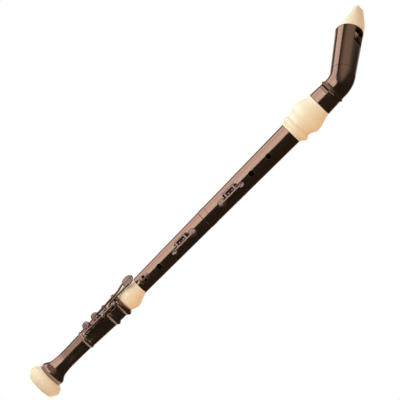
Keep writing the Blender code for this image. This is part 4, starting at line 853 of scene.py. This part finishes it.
# %% Turn the head tube and cut its window
HEAD_BORE = 17.0 * MM
WINDOW_LENGTH, WINDOW_WIDTH, WINDOW_BRIDGE = 17.0 * MM, 22.0 * MM, 5.0 * MM
LABIUM_LENGTH, LABIUM_EDGE = 25.0 * MM, 1.0 * MM
WINDWAY_HEIGHT, WINDWAY_WIDTH = 2.0 * MM, 20.0 * MM
window_top = HEAD_RIM - WINDOW_BRIDGE
window_low = window_top - WINDOW_LENGTH
side = WINDOW_WIDTH / 2
socket = HEAD_TENON + GAP
outline = [*near(HEAD_RADIUS_HIGH, HEAD_RIM, (-0.3, 0), (0.25, -0.4), (0.5, -1.1), (0.5, -2.5), (0.2, -4),
                 (0, -6)),
           (HEAD_RADIUS_LOW, HEAD_SEAM + 0.8 * MM), (HEAD_RADIUS_LOW - 0.5 * MM, HEAD_SEAM + GAP),
           (socket + 0.3 * MM, HEAD_SEAM + GAP), (socket, HEAD_SEAM + 0.6 * MM),
           (socket, top + GAP), (HEAD_BORE, top + GAP), (HEAD_BORE, HEAD_RIM)]
head = lathe("turned_head", outline)
cut(head, block("window", (-side, -40 * MM, window_low), (side, -5 * MM, window_top)))
surface = HEAD_RADIUS_HIGH - 0.2 * MM
drop = surface - HEAD_BORE - LABIUM_EDGE
slope = hypot(drop, LABIUM_LENGTH)
ramp_place = (Matrix.Translation((0, -surface, window_low - LABIUM_LENGTH))
              @ Matrix.Rotation(-asin(drop / slope), 4, "X"))
cut(head, block("labium", (-side, -15 * MM, -2 * MM), (side, 0, slope + 4 * MM), ramp_place))
cut(head, block("under_labium", (-side, -HEAD_BORE, window_low - 15 * MM), (side, -8 * MM, window_low + MM)))
half = WINDWAY_WIDTH / 2
cut(head, block("windway", (-half, -HEAD_BORE, window_top - MM), (half, -8 * MM, HEAD_RIM + MM)))
moved(head, HEAD_PLACE)
soften(head, 0.15 * MM, 2, 50)
place_piece(head, "head_tube")

# %% The block that forms the windway's floor
roof = HEAD_BORE - GAP
ledge = roof - WINDWAY_HEIGHT
TONGUE_LENGTH, TONGUE_THICKNESS = 29.0 * MM, 6.7 * MM
tongue_low = ledge - TONGUE_THICKNESS
tongue_end = HEAD_RIM + TONGUE_LENGTH
plug = rod("windway_plug", (0, 0, window_top), (0, 0, HEAD_RIM - GAP), roof, ROUND)
cut(plug, block("floor", (-30 * MM, -40 * MM, 0), (30 * MM, -ledge, HEAD_RIM + 20 * MM)))
fuse(plug, block("tongue", (-half, -ledge, window_top + MM), (half, -tongue_low, tongue_end)))
moved(plug, HEAD_PLACE)
soften(plug, 0.2 * MM, 2, 50)
place_piece(plug, "windway_block")

# %% [markdown]
# ## The beak
# The beak starts as round as the head and ends as a flat mouth a few millimetres high. Its upper line
# hardly falls, and its lower side is cut away in a long slant for the player's chin. Such a change of
# section is neither turned nor extruded, so a plain turned blank with many rings is made first, and
# each ring is then drawn to its own width, height and squareness.

# %% Shape the beak
TIP_HALF_WIDTH, TIP_TOP, TIP_BOTTOM, TIP_SLOT = 10.0 * MM, 18.6 * MM, 9.6 * MM, 15.0 * MM
beak_start = HEAD_RIM + GAP
full = HEAD_RADIUS_HIGH - 0.4 * MM
# height, half width, top line, bottom line and squareness (1 is round)
sections = smooth_line([
    (beak_start, full - 0.5 * MM, full - 0.5 * MM, 0.5 * MM - full, 1),
    (beak_start + 0.6 * MM, full, full, 0.3 * MM - full, 1),
    (beak_start + 0.07 * BEAK_LENGTH, full - 0.2 * MM, full - 0.1 * MM, -0.72 * full, 1),
    (beak_start + 0.25 * BEAK_LENGTH, 0.93 * full, 0.985 * full, -0.36 * full, 0.95),
    (beak_start + 0.47 * BEAK_LENGTH, 0.78 * full, 0.94 * full, -0.04 * full, 0.85),
    (beak_start + 0.72 * BEAK_LENGTH, 0.6 * full, mix(full, TIP_TOP, 0.62), mix(0, TIP_BOTTOM, 0.55), 0.7),
    (beak_start + 0.94 * BEAK_LENGTH, TIP_HALF_WIDTH + MM, TIP_TOP + 0.4 * MM, TIP_BOTTOM - 0.7 * MM, 0.52),
    (beak_start + 0.985 * BEAK_LENGTH, TIP_HALF_WIDTH + 0.2 * MM, TIP_TOP, TIP_BOTTOM - 0.1 * MM, 0.5),
    (beak_start + BEAK_LENGTH, TIP_HALF_WIDTH - 0.6 * MM, TIP_TOP - 0.8 * MM, TIP_BOTTOM + 0.7 * MM, 0.5)], 8)
blank = [(0, sections[-1][0]), *[(full, section[0]) for section in reversed(sections)], (0, sections[0][0])]
beak = lathe("shaped_beak", blank)
by_height = {round(section[0] * 1e7): section for section in sections}
for vertex in beak.data.vertices:
    x, y, z = vertex.co
    radius = hypot(x, y)
    if radius > MM:
        nearest = min(by_height, key=lambda key: abs(key - z * 1e7))
        _, half_width, top_line, low_line, square = by_height[nearest]
        across, upwards = x / radius, -y / radius
        vertex.co.x = half_width * copysign(abs(across) ** square, across)
        height = (top_line - low_line) / 2
        vertex.co.y = -(top_line + low_line) / 2 - height * copysign(abs(upwards) ** square, upwards)
    else:
        section = sections[0] if z < beak_start + BEAK_LENGTH / 2 else sections[-1]
        vertex.co.y = -(section[2] + section[3]) / 2
tidy_mesh(beak)
cut(beak, block("pocket", (-half - GAP, -roof, HEAD_RIM - 5 * MM),
                (half + GAP, -tongue_low + GAP, tongue_end + GAP)))
cut(beak, block("slot", (-TIP_SLOT / 2, -roof, tongue_end - MM), (TIP_SLOT / 2, -ledge, HEAD_RIM + 70 * MM)))
moved(beak, HEAD_PLACE)
shade(beak, 40)
place_piece(beak, "beak")

# %% [markdown]
# ## Plates, screws and rods
# The keys are held by small turned and filed parts. A plate that must follow the tube is cut from a
# thin turned ring with a block whose corners are rounded first, so the corners of the plate come out
# round as well. A screw is turned with a low dome and gets its slot last.

# %% Makers for the small parts
HEAD_OF_SCREW, HEAD_HEIGHT = 2.2 * MM, 1.1 * MM


def bent_plate(name, low, high, left, right, thickness, angle, corner=2.2 * MM):
    """A plate that lies on the tube, with rounded corners and softened edges."""
    inner, outer = GAP, GAP + thickness
    soft = 0.35 * MM
    outline = [(tube_radius(high) + outer, high), (tube_radius(low) + outer, low),
               (tube_radius(low) + inner, low), (tube_radius(high) + inner, high)]
    sheet = lathe(name, outline, 144)
    limits = block("limits", (left, -60 * MM, low + 0.01 * MM), (right, 0, high - 0.01 * MM),
                   Matrix.Rotation(angle, 4, "Z"))
    soften(limits, corner, 5)
    boolean(sheet, limits, "INTERSECT")
    return soften(sheet, soft, 2, 55)


def drive_screw(name, seat, height, angle):
    """A domed screw with a slot; its head sits just over a seat at a distance from the body axis."""
    low, head = tube_radius(height) - SCREW_DEPTH, seat + GAP
    top = head + HEAD_HEIGHT
    outline = smooth_line([(0, top), (0.5 * HEAD_OF_SCREW, top - 0.08 * MM),
                           (0.86 * HEAD_OF_SCREW, top - 0.34 * MM), (HEAD_OF_SCREW, top - 0.75 * MM)], 4)
    outline += [(HEAD_OF_SCREW, head + 0.12 * MM), (HEAD_OF_SCREW - 0.15 * MM, head), (SCREW_RADIUS, head),
                (SCREW_RADIUS, low + 0.5 * MM), (SCREW_RADIUS - 0.5 * MM, low), (0, low)]
    screw = lathe("turned_" + name, outline, 40)
    cut(screw, block("slot", (-0.32 * MM, -3 * MM, top - 0.55 * MM), (0.32 * MM, 3 * MM, top + MM)))
    place_piece(shade(moved(screw, outwards(angle, height)), 35), name)


def key_pad(name, radius, seat, hole, place):
    """A leather pad with a soft edge and the ring that its tone hole has pressed into it."""
    outer, low = radius - 1.1 * MM, seat + GAP
    top = low + PAD_THICKNESS
    outline = [(0, top), *near(outer, top, (-0.3, 0), (0, -0.3)),
               *near(outer, low, (0, 0.5), (-0.15, 0.15), (-0.5, 0))]
    outline += [*near(hole, low, (0.7, 0), (0.3, 0.25), (-0.1, 0.1)), (0, low)]
    place_piece(shade(moved(lathe("soft_" + name, outline, 64), place), 40), name)


def key_cup(radius, seat, place):
    """A shallow domed cup with a rolled rim, open below for its pad."""
    inside = seat + GAP + PAD_THICKNESS + GAP
    top = inside + CUP_WALL
    low, recess = seat + 0.7 * MM, radius - 0.8 * MM
    outline = smooth_line([(0, top + 0.55 * MM), (0.4 * radius, top + 0.45 * MM),
                           (0.72 * radius, top + 0.16 * MM),
                           *near(radius, top, (-1.2, -0.1), (-0.3, -0.6), (0, -1.3))], 4)
    outline += [*near(radius, low, (0, 0.55), (0.25, 0.4), (0.25, 0.15), (0, 0)), (recess, low),
                (recess, inside), (0, inside)]
    return moved(lathe("cup", outline, 64), place)


def hinge_tube(name, low, high, x, y):
    """A tube round the rod, with a fine groove near each end."""
    wall, bore = 2.4 * MM, ROD_RADIUS + GAP
    outline = [(wall - 0.25 * MM, high), (wall, high - 0.25 * MM)]
    for middle in (high - 1.5 * MM, low + 1.5 * MM):
        outline += [(wall, middle + 0.35 * MM), (wall - 0.3 * MM, middle), (wall, middle - 0.35 * MM)]
    outline += [(wall, low + 0.25 * MM), (wall - 0.25 * MM, low), (bore, low), (bore, high)]
    return moved(lathe(name, outline, 48), Matrix.Translation((x, y, 0)))


def slotted_rod(name, low, high, x, y, head=None):
    """A steel rod with a slot in its upper end, and a head where it has one."""
    radius = ROD_RADIUS
    top_radius = head or radius
    outline = [(0, high), (top_radius - 0.25 * MM, high), (top_radius, high - 0.25 * MM)]
    if head:
        outline += [(top_radius, high - 0.9 * MM), (top_radius - 0.1 * MM, high - MM), (radius, high - MM)]
    outline += [(radius, low + 0.25 * MM), (radius - 0.25 * MM, low), (0, low)]
    bar = lathe(name, outline, 40)
    cut(bar, block("slot", (-3 * MM, -0.28 * MM, high - 0.5 * MM), (3 * MM, 0.28 * MM, high + MM)))
    moved(bar, Matrix.Translation((x, y, 0)))
    shade(bar, 35)
    return bar


def about(x, y, angle):
    """A turn about a key's rod."""
    return Matrix.Translation((x, y, 0)) @ Matrix.Rotation(angle, 4, "Z") @ Matrix.Translation((-x, -y, 0))


def cup_top(seat):
    """How far out a closed cup's plate reaches over its seat."""
    return seat + 2 * GAP + PAD_THICKNESS + CUP_WALL


def straight(near, far):
    return [near.lerp(far, k / 6) for k in range(7)]


def needle_spring(name, line):
    return pipe("bent_" + name, line, SPRING_RADIUS, [1 - 0.07 * k for k in range(7)], 5)


def drill(piece, x, y, low, high):
    return cut(piece, rod("drill", (x, y, low - MM), (x, y, high + MM), ROD_RADIUS + GAP))


# %% [markdown]
# ## The two middle keys
# The third and fourth holes lie too far apart for the hand, so a key carries each finger's press to
# its hole. A key is a seesaw that doesn't cross its pivot: the finger's oval touch and the cup hang
# on one bar, two arms lead the bar to a tube, and the tube turns on a rod beside the holes. The keys
# are modelled closed, where every distance is known, and are then turned about the rod to where the
# spring holds them open. The lower key is the upper one upside down.

# %% Sizes of the middle keys
PAD_THICKNESS, CUP_WALL = 2.2 * MM, 1.2 * MM
ROD_OFFSET, ROD_HEIGHT = 8.4 * MM, 4.8 * MM
BAR_OFFSET, BAR_WIDTH, BAR_THICKNESS, BAR_DROP = 1.6 * MM, 3.8 * MM, 2.6 * MM, 0.9 * MM
TOUCH_LENGTH, TOUCH_WIDTH, TOUCH_OFFSET = 12.0 * MM, 9.0 * MM, 3.0 * MM
ARM_SPREAD, ARM_WIDTH, ARM_THICKNESS, ARM_DROP = 10.6 * MM, 4.0 * MM, 2.2 * MM, 0.4 * MM
POST_HALF_WIDTH, ROD_HEAD = 2.8 * MM, ROD_RADIUS + 0.7 * MM
SADDLE_LEFT, SADDLE_RIGHT, LUG_WIDTH = 3.4 * MM, 3.0 * MM, 1.2 * MM
SPRING_RADIUS, SPRING_OFFSET, SPRING_END = 0.4 * MM, 4.4 * MM, 8.2 * MM
KEY_OPENING = -asin(2.4 / 8.4)


def oval_touch(name, length, width, thickness, place):
    """An oval for a fingertip: rounded all round and dished a little on top."""
    radius, half = width / 2, thickness / 2
    outline = smooth_line([(0, half - 0.35 * MM), (0.45 * radius, half - 0.28 * MM), (0.78 * radius, half),
                           (0.93 * radius, half - 0.25 * MM), (radius, 0.25 * half),
                           (0.96 * radius, -0.55 * half), (0.82 * radius, -half)], 4)
    touch = lathe(name, outline + [(0, -half)], 72)
    return moved(touch, place @ Matrix.Diagonal((1, length / width, 1, 1)))


def middle_key(name, cup, way):
    centre = saddle_middle(cup, way)
    touch = cup + way * TOUCH_REACH
    surface = tube_radius(centre)
    seat = tube_radius(cup) + SEAT_HEIGHT
    axis = surface + ROD_HEIGHT
    angle = -asin(ROD_OFFSET / axis)
    x, y = front(axis, angle, 0).xy
    half = TUBE_LENGTH / 2
    top = cup_top(seat)
    lower = top - BAR_DROP
    upper = lower + BAR_THICKNESS
    opened = about(x, y, KEY_OPENING)

    lever = hinge_tube("turned_" + name + "_lever", centre - half, centre + half, x, y)
    low, high = sorted((cup, touch))
    bar = block("bar", (BAR_OFFSET - BAR_WIDTH / 2, -upper, low), (BAR_OFFSET + BAR_WIDTH / 2, -lower, high))
    fuse(lever, soften(bar, 0.7 * MM, 4))
    for side in (-1, 1):
        arm = centre + side * ARM_SPREAD
        bridge = block("arm", (x, -upper + ARM_DROP, arm - ARM_WIDTH / 2),
                       (BAR_OFFSET, -upper + ARM_DROP + ARM_THICKNESS, arm + ARM_WIDTH / 2))
        fuse(lever, soften(bridge, 0.5 * MM, 3))
    fuse(lever, key_cup(CUP_RADIUS, seat, outwards(0, cup)))
    lie = Matrix.Translation((TOUCH_OFFSET, -top, touch)) @ Matrix.Rotation(pi / 2, 4, "X")
    fuse(lever, oval_touch("touch", TOUCH_LENGTH, TOUCH_WIDTH, BAR_THICKNESS + 0.6 * MM, lie))
    drill(lever, x, y, centre - half, centre + half)
    moved(lever, opened)
    shade(lever, 38)
    place_piece(lever, name + "_lever")
    key_pad(name + "_pad", CUP_RADIUS, seat, CUP_HOLE_RADIUS, opened @ outwards(0, cup))

    end = half + GAP + POST_THICKNESS
    turn = Matrix.Rotation(angle, 4, "Z")
    saddle = bent_plate("filed_" + name + "_saddle", centre - end, centre + end, -ROD_OFFSET - SADDLE_LEFT,
                        SADDLE_RIGHT, SADDLE_PLATE, 0)
    root = surface + GAP + SADDLE_PLATE / 2
    for side in (-1, 1):
        low, high = sorted((centre + side * (half + GAP), centre + side * end))
        post = block("post", (-POST_HALF_WIDTH, -axis, low), (POST_HALF_WIDTH, -root, high), turn)
        fuse(post, rod("post_head", turn @ Vector((0, -axis, low)), turn @ Vector((0, -axis, high)),
                       POST_HALF_WIDTH, 48))
        fuse(saddle, soften(post, 0.35 * MM, 3, 60))
        if side == way:
            lug = block("lug", (0, -surface - ROD_HEIGHT + LUG_WIDTH, low),
                        (SPRING_OFFSET + LUG_WIDTH, -root, high), turn)
            fuse(saddle, soften(lug, 0.4 * MM, 3))
    drill(saddle, x, y, centre - end, centre + end)
    for side in (-1, 1):
        height = centre + side * SCREW_SPREAD
        hole_angle = screw_angle(cup, way)
        cut(saddle, drill_bit(hole_angle, height, surface - 2 * MM, axis, SCREW_RADIUS + GAP))
        drive_screw(f"{name}_screw_{1 if side < 0 else 2}", surface + GAP + SADDLE_PLATE, height, hole_angle)
    shade(saddle, 38)
    place_piece(saddle, name + "_saddle")
    pin = slotted_rod("turned_" + name + "_rod", centre - end, centre + end + GAP + MM, x, y, ROD_HEAD)
    place_piece(pin, name + "_rod")
    under = -upper + ARM_DROP + ARM_THICKNESS + GAP + SPRING_RADIUS
    reach = [half + (SPRING_END - half) * k / 6 for k in range(7)]
    line = [Vector((x + SPRING_OFFSET, under, centre + way * r)) for r in reach]
    place_piece(needle_spring(name + "_spring", line), name + "_spring")


# %% Make the upper and the lower key
middle_key("upper_key", THIRD_CUP, 1)
middle_key("lower_key", FOURTH_CUP, -1)

# %% [markdown]
# ## The little finger's keys
# The foot has two keys on one rod. Their touches are the two halves of an oval beside the ivory ball,
# so the little finger can press one half or both; a lever from each half runs down past the ball to
# its cup. A lever is a bent rod, made here as a round section carried along a curve.

# %% Sizes of the foot's keys
LEVER_RADIUS, LEVER_ORBIT, CUP_ARM = 1.9 * MM, 28.2 * MM, 1.7 * MM
FINGER_TOUCH, FINGER_LENGTH, FINGER_WIDTH = BALL_BOTTOM + 35 * MM, 25.0 * MM, 18.0 * MM
FINGER_ANGLE, FINGER_THICKNESS, FINGER_SHIFT = radians(-40.0), 2.4 * MM, 4.5 * MM
FOOT_X, FOOT_Y = front(FOOT_ROD_RADIUS, FOOT_ROD_ANGLE, 0).xy
sharp_seat = front(foot_surface(SHARP_CUP) + SEAT_HEIGHT, SHARP_ANGLE, 0)
FOOT_OPENING = asin(2.4 * MM / hypot(FOOT_X - sharp_seat.x, FOOT_Y - sharp_seat.y))
opened_foot = about(FOOT_X, FOOT_Y, FOOT_OPENING)
HALF_GAP = 0.6 * MM
POST_CLEAR = POST_HEAD + GAP
KEY_SPLIT = LOW_CUP + LOW_RADIUS + 1 * MM
print("foot keys open by", round(FOOT_OPENING / radians(1), 2), "degrees")


def half_of_touch(name, side):
    """One half of the oval; side is 1 for the left half and -1 for the right half."""
    lie = (Matrix.Rotation(FINGER_ANGLE, 4, "Z")
           @ Matrix.Translation((-FINGER_SHIFT, -LEVER_ORBIT + 0.4 * MM, FINGER_TOUCH))
           @ Matrix.Rotation(pi / 2, 4, "X"))
    touch = oval_touch(name, FINGER_LENGTH, FINGER_WIDTH, FINGER_THICKNESS, Matrix.Identity(4))
    away = 40 * MM
    low, high = (-HALF_GAP, away) if side > 0 else (-away, HALF_GAP)
    cut(touch, block("other_half", (low, -away, -away), (high, away, away)))
    soften(touch, 0.35 * MM, 3, 60)
    return moved(touch, lie)


def lever_rod(stations):
    """A round lever through stations of angle in degrees, distance and height in mm."""
    line = [front(orbit * MM, radians(angle), height * MM)
            for angle, orbit, height in smooth_line(stations, 8)]
    return pipe("lever_rod", line, LEVER_RADIUS, None, 8)


def cup_with_arm(piece, height, angle, radius):
    seat = foot_surface(height) + SEAT_HEIGHT
    top = cup_top(seat)
    fuse(piece, key_cup(radius, seat, outwards(angle, height)))
    line = straight(front(FOOT_ROD_RADIUS, FOOT_ROD_ANGLE, height), front(top + MM, angle, height))
    fuse(piece, pipe("arm", line, CUP_ARM, None, 8))


def foot_lever(name, low, high, stations, touch):
    """A tube on the foot's rod with a half touch at the end of its lever."""
    lever = hinge_tube(name, low, high, FOOT_X, FOOT_Y)
    fuse(lever, lever_rod(stations))
    return fuse(lever, touch)


def finish_lever(lever, node, low, high):
    drill(lever, FOOT_X, FOOT_Y, low, high)
    moved(lever, opened_foot)
    shade(lever, 38)
    place_piece(lever, node)


# %% The low key
orbit, line_height = LEVER_ORBIT / MM, BALL_BOTTOM / MM
low, high = POST_MIDDLE + POST_CLEAR, POST_TOP - POST_CLEAR
low_lever = foot_lever("turned_low_key_lever", low, high, [
    (-37.5, orbit, line_height + 33), (-36.5, orbit, line_height + 22), (-36, orbit, line_height + 6),
    (-35.5, orbit, line_height - 8), (-34, orbit - 0.6, line_height - 17),
    (-26, orbit - 1, line_height - 22)], half_of_touch("low_touch", -1))
finish_lever(low_lever, "low_key_lever", low, high)
low, high = POST_BOTTOM + POST_CLEAR, KEY_SPLIT
low_arm = hinge_tube("turned_low_key_cup", low, high, FOOT_X, FOOT_Y)
cup_with_arm(low_arm, LOW_CUP, LOW_ANGLE, LOW_RADIUS)
finish_lever(low_arm, "low_key_cup", low, high)

# %% The semitone key
low, high = KEY_SPLIT + GAP, POST_MIDDLE - POST_CLEAR
sharp_lever = foot_lever("turned_sharp_key_lever", low, high, [
    (-58, orbit + 0.4, line_height + 29), (-52, orbit + 0.2, line_height + 18),
    (-46.5, orbit, line_height + 8), (-45, orbit, line_height - 7), (-44, orbit - 1, line_height - 24),
    (-44, orbit - 2, line_height - 41), (-47, orbit - 3, line_height - 51)], half_of_touch("sharp_touch", 1))
cup_with_arm(sharp_lever, SHARP_CUP, SHARP_ANGLE, SHARP_RADIUS)
finish_lever(sharp_lever, "sharp_key_lever", low, high)

# %% Pads, rod, posts and springs of the foot
for name, cup, angle, radius in (("low_key", LOW_CUP, LOW_ANGLE, LOW_RADIUS),
                                 ("sharp_key", SHARP_CUP, SHARP_ANGLE, SHARP_RADIUS)):
    key_pad(name + "_pad", radius, foot_surface(cup) + SEAT_HEIGHT, radius - HOLE_MARGIN,
            opened_foot @ outwards(angle, cup))
long_rod = slotted_rod("turned_foot_key_rod", POST_BOTTOM - POST_HEAD, POST_TOP + POST_HEAD, FOOT_X, FOOT_Y)
place_piece(long_rod, "foot_key_rod")
for name, height in (("foot_post_top", POST_TOP), ("foot_post_middle", POST_MIDDLE),
                     ("foot_post_bottom", POST_BOTTOM)):
    surface = foot_surface(height)
    low = surface - STEM_DEPTH
    outline = [(POST_HEAD * sin(pi / 2 * k / 10), FOOT_ROD_RADIUS + POST_HEAD * cos(pi / 2 * k / 10))
               for k in range(11)]
    outline += [(POST_HEAD * cos(a), FOOT_ROD_RADIUS - POST_HEAD * sin(a))
                for a in (0.15, 0.3, 0.45, 0.6, 0.7)]
    outline += near(STEM_RADIUS, surface, (-0.25, 2.2), (-0.2, 1.3), (0.5, 1.0), (0.6, 0.7),
                    (0.5, 0.45), (0, 0.35))
    outline += [(STEM_RADIUS, low), (0, low)]
    post = moved(lathe("turned_" + name, outline, 48), outwards(FOOT_ROD_ANGLE, height))
    drill(post, FOOT_X, FOOT_Y, height - 5 * MM, height + 5 * MM)
    shade(post, 38)
    place_piece(post, name)
for name, start, end in (("low_key_spring", POST_MIDDLE + STEM_RADIUS + GAP, POST_MIDDLE + 19 * MM),
                         ("sharp_key_spring", POST_MIDDLE - STEM_RADIUS - GAP, POST_MIDDLE - 14 * MM)):
    orbit_of_spring = FOOT_ROD_RADIUS - 3.6 * MM
    line = straight(front(orbit_of_spring, FOOT_ROD_ANGLE, start),
                    front(orbit_of_spring, FOOT_ROD_ANGLE - radians(7), end))
    place_piece(needle_spring(name, line), name)

# %% [markdown]
# ## Strap eye and thumb rest
# Both sit at the back. The bass is heavy enough to hang from a strap, whose hook takes the ring; the
# hook-shaped rest lets the right thumb steady the tube without gripping it.

# %% Strap eye and its ring
EYE_HOLE, EYE_HALF, EYE_WALL, EYE_HEIGHT = 2.0 * MM, 1.4 * MM, 1.6 * MM, 6.5 * MM
RING_RADIUS, RING_WIRE = 8.5 * MM, 1.2 * MM
eye_centre = tube_radius(STRAP_EYE) + EYE_HEIGHT
eye = bent_plate("filed_strap_eye", STRAP_EYE - 15 * MM, STRAP_EYE + 5 * MM, -5 * MM, 5 * MM, SADDLE_PLATE,
                 pi)
stem = block("stem", (-EYE_HALF, tube_radius(STRAP_EYE) + GAP + SADDLE_PLATE / 2, STRAP_EYE - 2 * MM),
             (EYE_HALF, eye_centre, STRAP_EYE + 2 * MM))
fuse(stem, rod("eye", (-EYE_HALF, eye_centre, STRAP_EYE), (EYE_HALF, eye_centre, STRAP_EYE),
               EYE_HOLE + EYE_WALL, 48))
cut(stem, rod("hole", (-9 * MM, eye_centre, STRAP_EYE), (9 * MM, eye_centre, STRAP_EYE), EYE_HOLE, 48))
fuse(eye, soften(stem, 0.3 * MM, 3, 60))
cut(eye, rod("screw_hole", (0, 5 * MM, STRAP_SCREW), (0, 40 * MM, STRAP_SCREW), SCREW_RADIUS + GAP))
shade(eye, 38)
place_piece(eye, "strap_eye")
drive_screw("strap_screw", tube_radius(STRAP_SCREW) + GAP + SADDLE_PLATE, STRAP_SCREW, pi)
ring = add(bpy.ops.mesh.primitive_torus_add, "bent_strap_ring", major_radius=RING_RADIUS,
           minor_radius=RING_WIRE, major_segments=96, minor_segments=20,
           location=(0, eye_centre, STRAP_EYE - RING_RADIUS), rotation=(pi / 2, 0, 0))
settle(ring)
bpy.ops.object.shade_smooth()
place_piece(ring, "strap_ring")

# %% Thumb rest
REST_LENGTH, REST_WIDTH, REST_PLATE, REST_HOOK = 30.0 * MM, 15.0 * MM, 2.2 * MM, 15.0 * MM
low, high = THUMB_REST - REST_LENGTH / 2, THUMB_REST + REST_LENGTH / 2
rest = bent_plate("moulded_thumb_rest", low, high, -REST_WIDTH / 2, REST_WIDTH / 2, REST_PLATE, pi, 3.0 * MM)
surface = tube_radius(high)
HOOK_RADIUS = 1.6 * MM
line = smooth_line([(0, surface + 1.6 * MM, high - 2 * MM), (0, surface + 0.5 * REST_HOOK, high - 1.6 * MM),
                    (0, surface + 0.85 * REST_HOOK, high - 3.6 * MM),
                    (0, surface + REST_HOOK, high - 7 * MM)], 8)
hook = pipe("hook", [Vector(point) for point in line], HOOK_RADIUS, None, 10)
fuse(rest, moved(hook, Matrix.Diagonal((REST_WIDTH / 2 / HOOK_RADIUS * 0.86, 1, 1, 1))))
cut(rest, rod("screw_hole", (0, 5 * MM, THUMB_REST), (0, 40 * MM, THUMB_REST), SCREW_RADIUS + GAP))
shade(rest, 38)
place_piece(rest, "thumb_rest")
drive_screw("thumb_rest_screw", tube_radius(THUMB_REST) + GAP + REST_PLATE, THUMB_REST, pi)

# %% Note the visual box
low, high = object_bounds()
print("visual box", [round(v, 4) for v in low], [round(v, 4) for v in high])
